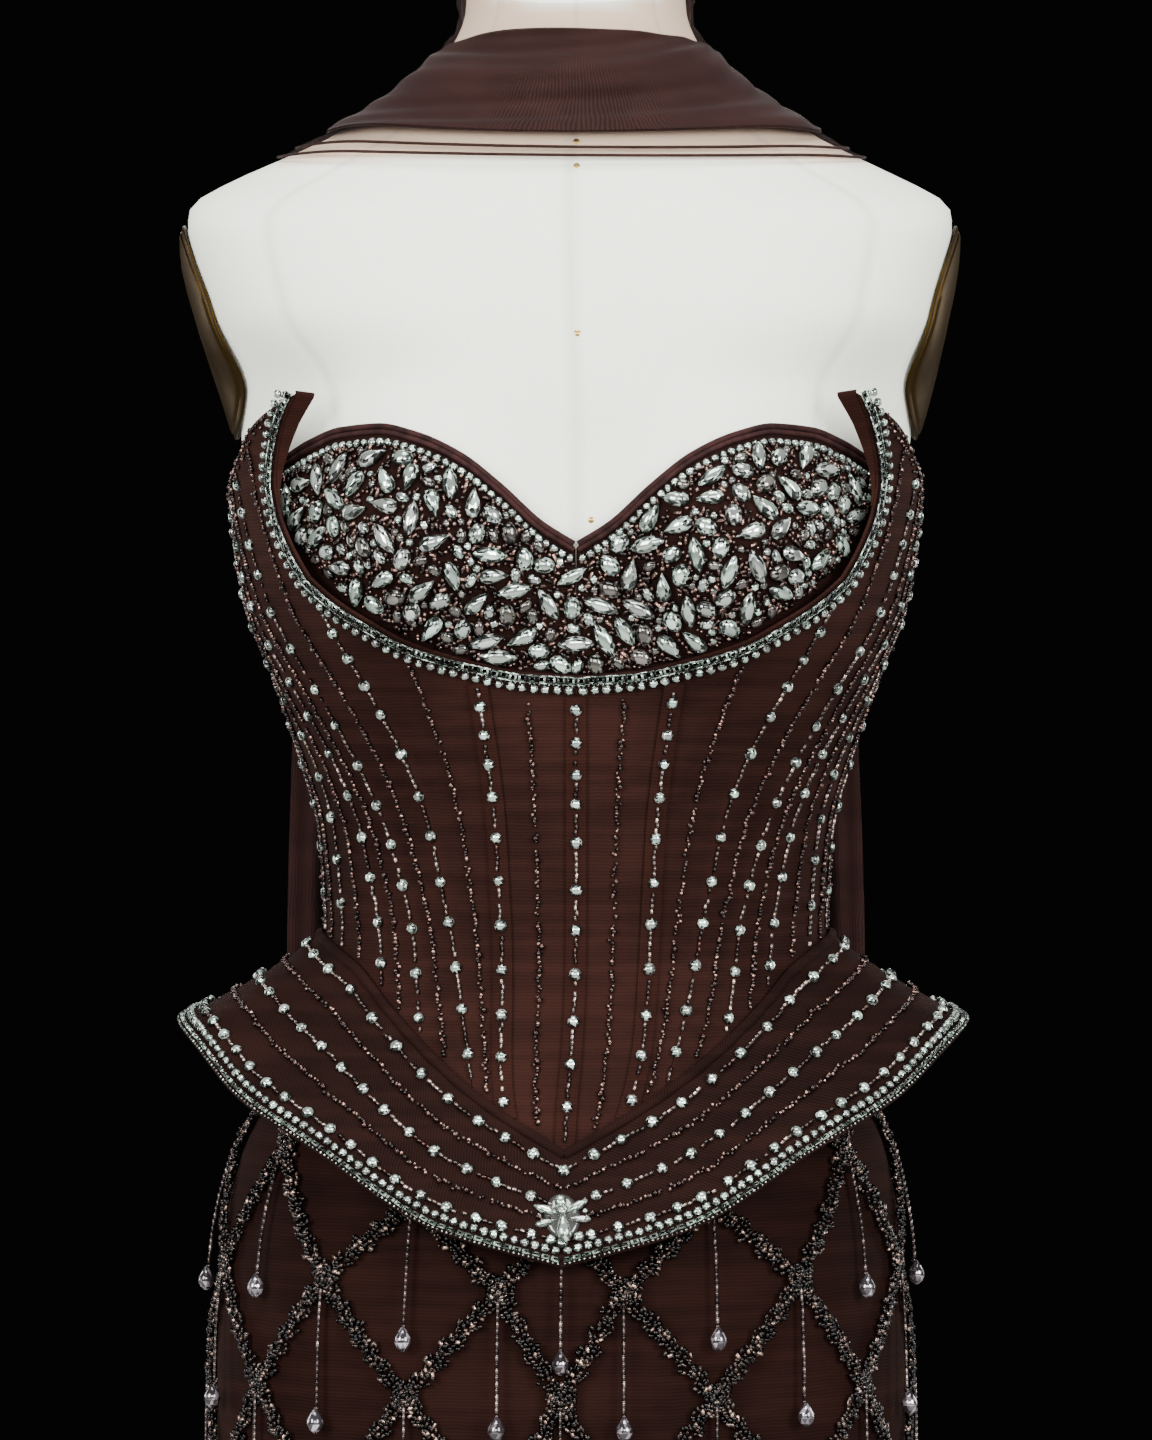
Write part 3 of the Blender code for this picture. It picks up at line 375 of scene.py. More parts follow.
def level(angle, height, out):
    """The body surface moved straight outwards, without rising or falling."""
    round_ = body(angle + 0.05, height) - body(angle - 0.05, height)
    up = np.zeros_like(round_)
    up[..., 2] = 1.0
    return body(angle, height) + unit(np.cross(round_, up)) * np.asarray(out)[..., None]


def raised(points, distance):
    """A grid of points moved out along its own normals; rows go down, columns to +X."""
    across = np.gradient(points, axis=1)
    down = np.gradient(points, axis=0)
    distance = np.asarray(distance)
    distance = distance[..., None] if distance.ndim else distance
    return points + unit(np.cross(down, across)) * distance


def corset_out(angle, height):
    """Distance of the corset's inside from the body: ease, cups and the wing's lean."""
    over = OVER_CUPS * ease((height - OVER_START) / OVER_RISE)
    lift = np.clip((height - WING_START) / WING_RISE, 0.0, 1.0) ** 1.5
    return EASE + over + WING_FLARE * lift * ease((90.0 - np.abs(angle)) / 45.0)


def cloth_uv(angle, height):
    """Cloth coordinates in metres, across and up, from angles and heights."""
    return np.stack((angle * DEGREE_LENGTH, height), axis=-1)


def seam(angle):
    """Height of the V seam between corset and peplum."""
    return along(SEAM, 1, np.abs(angle))


def fan_line(column, height):
    """Angle of a crystal line at a height; a half number is the bead line in between."""
    low, high = int(math.floor(column)), int(math.ceil(column))
    pair = [along(FAN, k, height) if k else np.zeros(np.shape(height)) for k in (low, high)]
    return (pair[0] + pair[1]) / 2


def wing_angle(height):
    """Angle of the wing's front edge at a height."""
    return np.interp(height, WING_EDGE[:, 1], WING_EDGE[:, 0])


def upper_edge(angle):
    """Height of the corset's top at an angle from the wing round to the back."""
    angle = np.abs(angle)
    back = WING_TOP[-1, 1] + (BACK_TOP - WING_TOP[-1, 1]) * ease((angle - 90.0) / 60.0)
    return np.where(angle > 90.0, back, along(WING_TOP, 1, angle))


def corset_face(angle, height, above=0.0):
    """Outer face of the corset."""
    return skin(angle, height, corset_out(angle, height) + CORSET_WALL + above)


def creased_face(angle, height):
    """Outer face of the corset with its soft creases."""
    return corset_face(angle, height, creases(angle, height))


def cup_face(angle, height):
    """Outer face of the cups."""
    return skin(angle, height, EASE + CUP_WALL)


def peplum_point(angle, v):
    """Inner face of the peplum: v is 0 at its rolled top and 1 at its lower edge."""
    turn = np.abs(angle)
    top = seam(turn) + PEPLUM_LAP
    height = top + (along(PEPLUM, 1, turn) - top) * v
    out = PEPLUM_CLEAR + along(PEPLUM, 2, turn) * np.clip(v, 0.0, 2.0) ** PEPLUM_CURL
    return level(angle, height, out)


def peplum_face(angle, rise):
    """Outer face of the peplum; rise is 0 at its lower edge and 1 at its top."""
    v = 1.0 - np.asarray(rise, float)
    at = peplum_point(angle, v)
    across = peplum_point(angle + 0.1, v) - peplum_point(angle - 0.1, v)
    up = peplum_point(angle, np.clip(v - 0.01, 0, 1)) - peplum_point(angle, np.clip(v + 0.01, 0, 1))
    return at + unit(np.cross(across, up)) * PEPLUM_WALL


def peplum_length(angle):
    """Length of the peplum from its top to its lower edge."""
    return 5.0 * np.linalg.norm(peplum_point(angle, 1.0) - peplum_point(angle, 0.8), axis=-1)


def flounce_point(angle, v):
    """Inner face of the flared foot: the knee's ring eased out to the hem's, with waves."""
    turn = np.radians(angle)
    knee = skin(angle, KNEE, EASE)
    hem = np.stack((
        HEM_HALF_WIDTH * np.sin(turn), -HEM_DEPTH * np.cos(turn), np.full(angle.shape, HEM)
    ), axis=-1)
    away = np.stack((np.sin(turn), -np.cos(turn), np.zeros_like(turn)), axis=-1)
    v = np.asarray(v)[..., None]
    points = knee + (hem - knee) * v**FLARE_POWER
    points = points + away * WAVE_DEPTH * v**1.3 * np.cos(WAVES * turn)[:, None]
    points[..., 2] = (KNEE - SEAM_GAP / 2) * (1 - v[..., 0]) + HEM * v[..., 0]
    return points


def wrap_levels(angle):
    """Heights of the stole's upper edge and hem at an angle."""
    share = np.clip(np.abs(angle) / 90.0, 0.0, 1.15) ** 2
    top = WRAP_TOP_FRONT + (WRAP_TOP_SIDE - WRAP_TOP_FRONT) * share
    hem = WRAP_HEM + (WRAP_HEM_SIDE - WRAP_HEM) * share
    return top, hem


def wrap_out(v, angle):
    """Soft folds that run along the stole over the neck and shoulders."""
    out = WRAP_OUT + WRAP_FOLD * (1 + np.sin(2 * math.pi * (2.6 * v + 0.1 * np.sin(
        np.radians(2 * angle)))))
    settled = ease((np.abs(angle) - 40.0) / 40.0) * (0.55 + 0.45 * ease((v - 0.30) / 0.4))
    return out * (1.0 - 0.72 * settled)


def tail_points(side, columns, rows):
    """A tail that falls behind the shoulder; columns run from the neck to the arm."""
    u = np.linspace(0.0, 1.0, columns)
    v = np.linspace(0.0, 1.0, rows)[:, None] ** 2.3
    top, hem = wrap_levels(np.full(columns, WRAP_END))
    start_height = top * (1 - u) + hem * u
    turn = np.full(columns, WRAP_END + 0.4) * side
    start = skin(turn, start_height, wrap_out(u, turn))
    height = start_height * (1 - v) + TAIL_BOTTOM * v
    over = ease((start_height - height) / 0.045)
    wide = TAIL_X[0] + (TAIL_X[1] - TAIL_X[0]) * u
    x = start[:, 0] + (side * wide - start[:, 0]) * ease(v * 1.6)
    lean = TAIL_SHOULDER_Y[0] + (TAIL_SHOULDER_Y[1] - TAIL_SHOULDER_Y[0]) * u
    end = TAIL_END_Y[0] + (TAIL_END_Y[1] - TAIL_END_Y[0]) * u**2
    y = start[:, 1] * (1 - over) + lean * over
    y = y + (end - lean) * ease(v * 1.8)
    wave = np.sin(2 * math.pi * TAIL_WAVES * u + 0.7)
    fine = 0.25 * np.sin(2 * math.pi * 7.3 * u + 1.9 + 3.0 * v)
    y = y + TAIL_WAVE * (1 + wave + fine) * ease(v * 3.0)
    share = np.clip((x - along(BODY, 4, height)) / along(BODY, 1, height), -0.98, 0.98)
    back = along(BODY, 3, height) * section_depth(share, height)
    y = np.where(v > 0, np.maximum(y, back + TAIL_CLEAR * (0.8 + 0.2 * over)), y)
    return np.stack((x, y, height), axis=-1)


# ---------------- meshes

def fill_mesh(name, points, groups):
    """A mesh from an array of points and arrays of faces, each with its own corner count."""
    data = bpy.data.meshes.new(name)
    corners = np.concatenate([g.reshape(-1) for g in groups]).astype(np.int32)
    counts = np.concatenate([np.full(len(g), g.shape[1]) for g in groups])
    starts = (np.cumsum(counts) - counts).astype(np.int32)
    data.vertices.add(len(points))
    data.vertices.foreach_set("co", np.asarray(points, np.float32).reshape(-1))
    data.loops.add(len(corners))
    data.loops.foreach_set("vertex_index", corners)
    data.polygons.add(len(counts))
    data.polygons.foreach_set("loop_start", starts)
    data.update(calc_edges=True)
    return data


def grid_faces(rows, columns, closed=False):
    """Quads over a grid of points whose rows go down and columns to +X, facing out."""
    last = columns if closed else columns - 1
    r, c = np.meshgrid(np.arange(rows - 1), np.arange(last), indexing="ij")
    near, far = (c % columns), ((c + 1) % columns)
    quads = (r * columns + near, (r + 1) * columns + near, (r + 1) * columns + far, r * columns + far)
    return np.stack(quads, axis=-1).reshape(-1, 4)


def place(name, data, finish, replaces=(), crease=40.0):
    """Links a mesh, gives it its finish and lets it ride on the frame."""
    made = bpy.data.objects.new(name, data)
    bpy.context.scene.collection.objects.link(made)
    data.materials.append(finish)
    if crease:
        data.shade_smooth()
        data.set_sharp_from_angle(angle=math.radians(crease))
    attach(made, "root")
    if replaces:
        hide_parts(*replaces)
    return made


def add_uv(data, values):
    """A UV map from one pair for each point."""
    corner = np.empty(len(data.loops), np.int32)
    data.loops.foreach_get("vertex_index", corner)
    layer = data.uv_layers.new(name="cloth")
    layer.data.foreach_set("uv", values[corner].astype(np.float32).reshape(-1))


def add_value(data, name, values):
    """A number for each point, which a finish can read."""
    layer = data.attributes.new(name=name, type="FLOAT", domain="POINT")
    layer.data.foreach_set("value", values.astype(np.float32))


def lengths(points, axis):
    """Distance of each point from the first one of its row or column, along the grid."""
    step = np.linalg.norm(np.diff(points, axis=axis), axis=-1)
    zero = np.zeros_like(np.take(step, [0], axis=axis))
    return np.concatenate((zero, np.cumsum(step, axis=axis)), axis=axis)


def shell(name, inner, wall, finish, replaces=(), uv=None, lane=None, swell=0.0):
    """A closed thin wall: a grid of inner points, the same moved out, and a rim."""
    rows, columns = inner.shape[:2]
    outer = raised(inner, wall + np.asarray(swell))
    count = rows * columns
    front = grid_faces(rows, columns)
    back = front[:, ::-1] + count
    rim = np.concatenate((
        np.arange(columns), np.arange(1, rows) * columns + columns - 1,
        (rows - 1) * columns + np.arange(columns - 2, -1, -1),
        np.arange(rows - 2, 0, -1) * columns,
    ))
    after = np.roll(rim, -1)
    edge = np.stack((rim, after, after + count, rim + count), axis=-1)
    points = np.concatenate((outer.reshape(-1, 3), inner.reshape(-1, 3)))
    data = fill_mesh(name, points, [np.concatenate((front, back, edge))])
    if uv is None:
        uv = np.stack((lengths(outer, 1), -lengths(outer, 0)), axis=-1)
    uv = uv.reshape(-1, 2)
    add_uv(data, np.concatenate((uv, uv)))
    if lane is not None:
        add_value(data, "lane", np.tile(lane.reshape(-1), 2))
    return place(name, data, finish, replaces)


def loft(name, loops, finish, replaces=(), crease=40.0, uv=None):
    """A solid through rings of points, closed at both ends by a fan to a middle point."""
    count, around = loops.shape[:2]
    sides = grid_faces(count, around, closed=True)
    points = np.concatenate((
        loops.reshape(-1, 3), loops[:1].mean(axis=1), loops[-1:].mean(axis=1)
    ))
    i = np.arange(around)
    first = np.stack((np.full(around, count * around), i, (i + 1) % around), axis=-1)
    last = (count - 1) * around + np.stack((i, (i + 1) % around), axis=-1)
    last = np.concatenate((np.full((around, 1), count * around + 1), last[:, ::-1]), axis=-1)
    data = fill_mesh(name, points, [sides, first, last])
    if uv is not None:
        add_uv(data, np.concatenate((uv.reshape(-1, 2), uv[0, :1], uv[-1, :1])))
    return place(name, data, finish, replaces, crease)


def cord_loops(path, facing, half_width, half_height, sides):
    """Ovals square to a path, one for each of its points; facing is their short axis."""
    ahead = unit(np.gradient(path, axis=0))
    facing = unit(facing - (facing * ahead).sum(axis=-1, keepdims=True) * ahead)
    across = np.cross(ahead, facing)
    turn = np.arange(sides) * 2 * math.pi / sides
    return (
        path[:, None]
        + across[:, None] * (half_width * np.cos(turn))[None, :, None]
        + facing[:, None] * (half_height * np.sin(turn))[None, :, None]
    )


# ---------------- stones and beads

def outline(kind, turn):
    """Outline of a stone of half length 1 along y: round, oval, navette or pear."""
    x, y = np.sin(turn), np.cos(turn)
    if kind == "navette":
        x = x * np.abs(x) ** 0.55
    if kind == "pear":
        x = x * np.abs(np.sin(turn / 2)) ** 1.1
    return np.stack((x, y), axis=-1)


def round_steps(around):
    """The numbers of a ring's points, and of the point after each."""
    i = np.arange(around)
    return i, (i + 1) % around


def ring_points(rings):
    """Points of flat rings, each given with its height."""
    return np.concatenate([np.column_stack((xy, np.full(len(xy), z))) for xy, z in rings])


def crown(i, j, low, high):
    """Triangles from a ring to the next one, which is turned by half a step."""
    return [np.stack((i + low, i + high, j + low), axis=-1),
            np.stack((i + high, j + high, j + low), axis=-1)]


def stone_shape(kind, around):
    """A cut stone: base, girdle, a crown turned by half a step, and a flat table."""
    turn = np.arange(around) * 2 * math.pi / around
    half = turn + math.pi / around
    rings = (
        (outline(kind, turn) * 0.92, -0.20), (outline(kind, turn), 0.22),
        (outline(kind, half) * 0.80, 0.62), (outline(kind, turn) * 0.52, 0.90),
    )
    points = ring_points(rings)
    i, j = round_steps(around)
    quads = np.stack((i, i + around, j + around, j), axis=-1)
    facets = crown(i, j, around, 2 * around)
    facets.append(np.stack((i + 2 * around, i + 3 * around, j + 3 * around), axis=-1))
    facets.append(np.stack((i + 2 * around, j + 3 * around, j + 2 * around), axis=-1))
    table = (i + 3 * around)[None, ::-1]
    return points, [quads, np.concatenate(facets), table, i[None]]


def chaton_shape():
    """A small round stone in its cup: eight sides, one crown and a table."""
    around = 8
    turn = np.arange(around) * 2 * math.pi / around
    half = turn + math.pi / around
    rings = ((outline("round", turn) * 0.90, -0.25), (outline("round", turn), 0.25),
             (outline("round", half) * 0.58, 0.72))
    points = ring_points(rings)
    i, j = round_steps(around)
    quads = np.stack((i, i + around, j + around, j), axis=-1)
    facets = np.concatenate(crown(i, j, around, 2 * around))
    return points, [quads, facets, (i + 2 * around)[None, ::-1], i[None]]


def bead_shape(around=5):
    """A seed bead: a double cone with that many sides, its tips along y."""
    turn = np.arange(around) * 2 * math.pi / around
    ring = np.column_stack((np.cos(turn), np.zeros(around), np.sin(turn)))
    points = np.concatenate((ring, ((0.0, 0.85, 0.0), (0.0, -0.85, 0.0))))
    i, j = round_steps(around)
    tip, tail = np.full(around, around), np.full(around, around + 1)
    return points, [np.stack((j, i, tip), axis=-1), np.stack((i, j, tail), axis=-1)]


def bugle_shape():
    """A short glass tube along y with four sides."""
    around = 4
    turn = np.arange(around) * 2 * math.pi / around + 0.3
    ring = np.column_stack((np.cos(turn), np.full(around, 0.5), np.sin(turn)))
    points = np.concatenate((ring, ring * (1, -1, 1)))
    i, j = round_steps(around)
    sides = np.stack((j, i, i + around, j + around), axis=-1)
    return points, [sides, i[None], (i + around)[None, ::-1]]


def baguette_shape():
    """A long stone with a bevelled table, its length along x."""
    low = np.array(((-1, -1), (1, -1), (1, 1), (-1, 1)), float)
    rings = ((low, -0.25), (low, 0.30), (low * (0.78, 0.50), 0.72))
    points = ring_points(rings)
    i, j = round_steps(4)
    walls = [np.stack((j + k, j + k + 4, i + k + 4, i + k), axis=-1)[:, ::-1] for k in (0, 4)]
    return points, [np.concatenate(walls), (i + 8)[None], i[None, ::-1]]


def drop_shape():
    """A faceted drop that hangs down -y from its narrow top."""
    around = 8
    turn = np.arange(around) * 2 * math.pi / around
    half = turn + math.pi / around
    rings = ((turn, 0.20, 0.10), (half, 0.55, 0.60), (turn, 0.95, 1.25), (half, 1.00, 1.80),
             (turn, 0.72, 2.45), (half, 0.22, 2.85))
    points = np.concatenate([
        np.column_stack((np.cos(t) * r, np.full(around, -fall), np.sin(t) * r))
        for t, r, fall in rings
    ])
    i, j = round_steps(around)
    bands = []
    for k, (turned, _, _) in enumerate(rings[:-1]):
        a, b = k * around, (k + 1) * around
        if turned is turn:
            bands.append(np.stack((i + a, j + a, i + b), axis=-1))
            bands.append(np.stack((j + a, j + b, i + b), axis=-1))
        else:
            bands.append(np.stack((i + a, j + b, i + b), axis=-1))
            bands.append(np.stack((i + a, j + a, j + b), axis=-1))
    last = (len(rings) - 1) * around
    return points, [np.concatenate(bands), i[None, ::-1], (i + last)[None]]


# painted reflections on the facets: what a facet loses of its stone's sparkle, by lot: up to
# the first mark it is painted dark, up to the second it is painted bright as a glint, and the
# rest lie in between; each least loss comes with its spread
DARK_MARK = 0.48
BRIGHT_MARK = 0.74
DARK_LOSS = (0.96, 0.04)
BRIGHT_LOSS = 0.30
MIDDLE_LOSS = (0.62, 0.30)
TABLE_LOSS = 0.6           # a table or an end keeps more of its light
# the painted sparkle: how much darker than its own tone the darkest painted facet of a stone or bead
# is
STONE_SPARKLE = 0.985
SEED_SPARKLE = 0.92
BUGLE_SPARKLE = 0.90
ROPE_SPARKLE = 0.95
STRAND_SPARKLE = 0.85
DROP_SPARKLE = 0.90
BROOCH_SPARKLE = 0.88
# linear tones: the dullest stone of each kind, and the ends of the beads' mixes
TONES = {
    "dull crystal": (0.70, 0.76, 0.70),
    "dull edging stone": (0.45, 0.48, 0.45),
    "dull cup stone": (0.70, 0.75, 0.70),
    "dull brooch stone": (0.85, 0.92, 0.86),
    "brooch back": (0.16, 0.16, 0.15),
    "large seed": (0.10, 0.042, 0.036),
    "dark bugle": (0.085, 0.036, 0.028),
    "bright bugle": (0.85, 0.66, 0.58),
    "dark rope": (0.010, 0.0042, 0.003),
    # the bright end of the ropes' mix: copper beads, and beads painted bright as painted highlights
    "bright rope and painted glint": (0.90, 0.62, 0.50),
    "dark strand": (0.07, 0.040, 0.036),
    "bright strand": (0.48, 0.37, 0.34),
    "strand end": (0.05, 0.03, 0.03),
    "dark drop": (0.42, 0.35, 0.38),
    "bright drop": (0.78, 0.72, 0.80),
}
HEADING = 0.0015           # distance before and behind over which a path's heading is taken
BUGLE_HALF = 0.00098       # half the thickness of the bugles between two crystals


class Beadwork:
    """Gathers copies of small shapes, each at its place, and makes one mesh of them."""

    def __init__(self, seed):
        self.random = np.random.default_rng(seed)
        self.points, self.faces, self.tints, self.count = [], [], [], 0

    def put(self, shape, at, axes, size, tint, sparkle=0.0):
        """Copies of a shape: its points are scaled by size and turned by the axes.

        A facet has the copy's own tone less a share of the sparkle, drawn by lot: painted shade and
        painted glints stand in for the light its facets reflect.
        """
        points, groups = shape
        size = np.broadcast_to(np.asarray(size, float), at.shape)
        spots = at[:, None] + np.einsum("nij,nkj->nki", axes, points[None] * size[:, None])
        first = self.count + np.arange(len(at)) * len(points)
        self.points.append(spots.reshape(-1, 3))
        self.count += spots.shape[0] * spots.shape[1]
        tint = np.broadcast_to(np.asarray(tint, float), (len(at), 3))
        for group in groups:
            self.faces.append((first[:, None, None] + group[None]).reshape(-1, group.shape[1]))
            lot = self.random.random((2, len(at), len(group), 1))
            dark = DARK_LOSS[0] + DARK_LOSS[1] * lot[1]
            middle = MIDDLE_LOSS[0] + MIDDLE_LOSS[1] * lot[1]
            loss = np.where(lot[0] < DARK_MARK, dark, BRIGHT_LOSS * lot[1])
            loss = np.where(lot[0] > BRIGHT_MARK, middle, loss)
            loss = loss * (TABLE_LOSS if len(group) == 1 else 1.0)
            # painted reflections: each facet's tone darkened by its drawn share of the sparkle
            tone = (tint[:, None] * (1.0 - sparkle * loss)).reshape(-1, 3)
            self.tints.append(np.repeat(tone, group.shape[1], axis=0))

    def make(self, name, finish, slot, replaces=(), crease=0.0):
        """One mesh of all the copies, with their tones as corner colours."""
        data = fill_mesh(name, np.concatenate(self.points), self.faces)
        rgba = np.concatenate(self.tints)
        rgba = np.column_stack((rgba, np.ones(len(rgba)))).astype(np.float32)
        layer = data.color_attributes.new(name="tint", type="FLOAT_COLOR", domain="CORNER")
        layer.data.foreach_set("color", rgba.reshape(-1))
        return place(name, data, finish, replaces, crease)


def axes_on(surface, a, b, step_a=0.1, step_b=0.0006):
    """Place, across, up and facing on a surface of two parameters."""
    at = surface(a, b)
    across = unit(surface(a + step_a, b) - surface(a - step_a, b))
    up = surface(a, b + step_b) - surface(a, b - step_b)
    facing = unit(np.cross(across, up))
    return at, across, np.cross(facing, across), facing


def walk(surface, path, at, above, step_b=0.0006):
    """Places and axes at distances along a path of surface parameters.

    The axes are across, ahead and facing, and above lifts the places off the surface.
    """
    points = surface(path[:, 0], path[:, 1])
    length = lengths(points, 0)
    a = np.interp(at, length, path[:, 0])
    b = np.interp(at, length, path[:, 1])
    spot, _, _, facing = axes_on(surface, a, b, step_b=step_b)

    def point(s):
        return np.stack([np.interp(s, length, points[:, k]) for k in range(3)], axis=-1)

    near = np.clip(np.stack((at - HEADING, at + HEADING)), 0.0, length[-1])
    ahead = point(near[1]) - point(near[0])
    ahead = unit(ahead - (ahead * facing).sum(axis=-1, keepdims=True) * facing)
    axes = np.stack((np.cross(ahead, facing), ahead, facing), axis=-1)
    return spot + facing * np.asarray(above)[..., None], axes


def path_length(surface, path):
    """Length of a path of surface parameters."""
    return lengths(surface(path[:, 0], path[:, 1]), 0)[-1]


def spin(axes, turn):
    """Axes turned about their facing direction."""
    across, ahead, facing = axes[..., 0], axes[..., 1], axes[..., 2]
    c, s = np.cos(turn)[:, None], np.sin(turn)[:, None]
    return np.stack((across * c + ahead * s, ahead * c - across * s, facing), axis=-1)


def between(low, high, share):
    """Colours at a share of the way from one to another."""
    return np.asarray(low) * (1 - share) + np.asarray(high) * share


def mixed(random, count, low, high, power=1.0):
    """Colours between two, one for each copy; a higher power keeps more of them low."""
    return between(low, high, random.random((count, 1)) ** power)


def crystal_places(total, start, near, far):
    """Distances of the crystals along a line, closer together near its start."""
    step = sizes().crystal_step
    at = [start]
    while at[-1] < total:
        at.append(at[-1] + step * (near + (far - near) * float(ease((at[-1] - 0.035) / 0.030))))
    return np.array(at[:-1])


def crystal_line(work, beads, surface, path, start, steps=(0.72, 1.0), above=0.0, step_b=0.0006):
    """Round crystals along a path, and a string of short bugles in each gap between them."""
    size = sizes()
    total = path_length(surface, path)
    random = work.random
    at = crystal_places(total - 0.002, start, *steps)
    at = at + random.uniform(-0.0010, 0.0010, len(at)) * (at > 0.004)
    spot, axes = walk(surface, path, at, above + size.crystal * 0.25, step_b)
    scale = size.crystal * random.uniform(0.92, 1.08, (len(at), 1))
    tint = mixed(random, len(at), TONES["dull crystal"], colours().crystal)
    axes = spin(axes, random.uniform(0, 6, len(at)))
    work.put(chaton_shape(), spot, axes, scale, tint, STONE_SPARKLE)
    tube = np.arange(0.0012, total - 0.001, size.bugle * 1.2)
    tube = tube[np.abs(tube[:, None] - at).min(axis=1) > size.crystal * 1.25]
    tube = tube[random.random(len(tube)) > 0.05]
    bright = random.random(len(at) + 1)[np.searchsorted(at, tube)][:, None] ** 1.3
    spot, axes = walk(surface, path, tube, above + 0.0009, step_b)
    spot = spot + axes[:, :, 0] * random.normal(0, 0.00025, (len(tube), 1))
    axes = spin(axes, random.normal(0, 0.14, len(tube)))
    bright = np.clip(bright + random.normal(0, 0.18, bright.shape), 0.0, 1.0)
    tint = between(TONES["dark bugle"], TONES["bright bugle"], bright)
    beads.put(bugle_shape(), spot, axes, (BUGLE_HALF, size.bugle, BUGLE_HALF), tint, BUGLE_SPARKLE)


def bead_line(beads, surface, path, step, above=0.0, step_b=0.0006):
    """A crowded string of seed beads along a path, now and then a larger smoky one."""
    random = beads.random
    total = path_length(surface, path)
    at = np.arange(0.002, total - 0.001, step)
    at = at + random.uniform(-0.4, 0.4, len(at)) * step
    at = at[random.random(len(at)) > 0.05]
    big = random.random(len(at)) > 0.93
    radius = np.where(big, 1.50, random.uniform(0.80, 1.12, len(at))) * sizes().seed
    spot, axes = walk(surface, path, at, above + radius * 0.7, step_b)
    spot = spot + axes[:, :, 0] * random.normal(0, 0.00055, (len(at), 1))
    axes = spin(axes, random.uniform(0, math.pi, len(at)))
    tint = mixed(random, len(at), colours().smoke, colours().copper, 1.8)
    tint = np.where(big[:, None], np.asarray(TONES["large seed"]), tint)
    scale = radius[:, None] * np.array((1.0, 1.3, 1.0))
    beads.put(bead_shape(), spot, axes, scale, tint, SEED_SPARKLE)


def chain(work, surface, path, kind, step, size, above=0.0, step_b=0.0006):
    """An edging of one kind of stone at even steps along a path."""
    random = work.random
    total = path_length(surface, path)
    count = max(int(total / step), 2)
    at = (np.arange(count) + 0.5) * total / count
    spot, axes = walk(surface, path, at, above, step_b)
    axes = spin(axes, random.normal(0, 0.07, count))
    tint = mixed(random, count, TONES["dull edging stone"], colours().crystal, 0.8)
    scale = np.asarray(size) * random.uniform(0.94, 1.06, (count, 1))
    work.put(kind, spot, axes, scale, tint, STONE_SPARKLE)


# ---------------- finishes

class Finish:
    """A Principled material and short ways to add nodes to it."""

    def __init__(self, name, tone, roughness, metallic=0.0, **values):
        self.material = bpy.data.materials.new(name)
        self.material.use_nodes = True
        self.tree = self.material.node_tree
        self.shader = self.tree.nodes["Principled BSDF"]
        self.shader.inputs["Base Color"].default_value = (*tone, 1.0)
        self.shader.inputs["Roughness"].default_value = roughness
        self.shader.inputs["Metallic"].default_value = metallic
        for socket, value in values.items():
            self.shader.inputs[socket.replace("_", " ")].default_value = value

    def node(self, kind, values=(), **settings):
        """A node with its settings, and its inputs filled by links or constants."""
        made = self.tree.nodes.new(kind)
        for key, value in settings.items():
            setattr(made, key, value)
        for key, value in dict(values).items():
            if isinstance(value, bpy.types.NodeSocket):
                self.tree.links.new(value, made.inputs[key])
            else:
                made.inputs[key].default_value = value
        return made

    def sum(self, operation, a, b=0.0, c=0.0):
        """A math node's result, from links or constants."""
        return self.node("ShaderNodeMath", {0: a, 1: b, 2: c}, operation=operation).outputs[0]

    def mix(self, share, a, b):
        """One colour between two, which are links or linear triples."""
        made = self.node("ShaderNodeMix", data_type="RGBA")
        for socket, value in ((0, share), (6, a), (7, b)):
            if isinstance(value, bpy.types.NodeSocket):
                self.tree.links.new(value, made.inputs[socket])
            elif socket:
                made.inputs[socket].default_value = (*value, 1.0)
            else:
                made.inputs[socket].default_value = value
        return made.outputs[2]

    def noise(self, scale, detail=3.0, stretch=None):
        """Noise over the object's own coordinates, stretched if wanted."""
        vector = self.node("ShaderNodeTexCoord").outputs["Object"]
        if stretch:
            vector = self.node("ShaderNodeMapping", {"Vector": vector, "Scale": stretch}).outputs[0]
        return self.node("ShaderNodeTexNoise", {
            "Vector": vector, "Scale": scale, "Detail": detail, "Roughness": 0.55,
        }).outputs["Fac"]

    def ramp(self, value, low, high):
        """The value's stretch between low and high, as 0 to 1."""
        return self.node("ShaderNodeMapRange", {
            "Value": value, "From Min": low, "From Max": high, "To Min": 0.0, "To Max": 1.0,
        }, clamp=True, interpolation_type="SMOOTHSTEP").outputs[0]

    def uv(self):
        """Across and up on the cloth, in metres."""
        split = self.node("ShaderNodeSeparateXYZ", {
            0: self.node("ShaderNodeUVMap", uv_map="cloth").outputs[0],
        })
        return split.outputs[0], split.outputs[1]

    def ribs(self, value, pitch):
        """A soft wave of 0 to 1 with that pitch in metres."""
        wave = self.sum("SINE", self.sum("MULTIPLY", value, 2 * math.pi / pitch))
        return self.sum("MULTIPLY_ADD", wave, 0.5, 0.5)

    def to(self, socket, value):
        """Links a value to an input of the shader."""
        self.tree.links.new(value, self.shader.inputs[socket])

    def bump(self, height, distance, strength):
        """Raises the surface by a height of 0 to 1 times the distance."""
        made = self.node("ShaderNodeBump", {
            "Height": height, "Distance": distance, "Strength": strength,
        })
        self.to("Normal", made.outputs[0])


FINISHES = {}


def finish(name):
    """A finish by its name, made the first time it is asked for."""
    if name not in FINISHES:
        FINISHES[name] = FINISH_MAKERS[name]().material
    return FINISHES[name]


def times(share, tone):
    """A colour made darker or lighter by a share."""
    return tuple(share * c for c in tone)


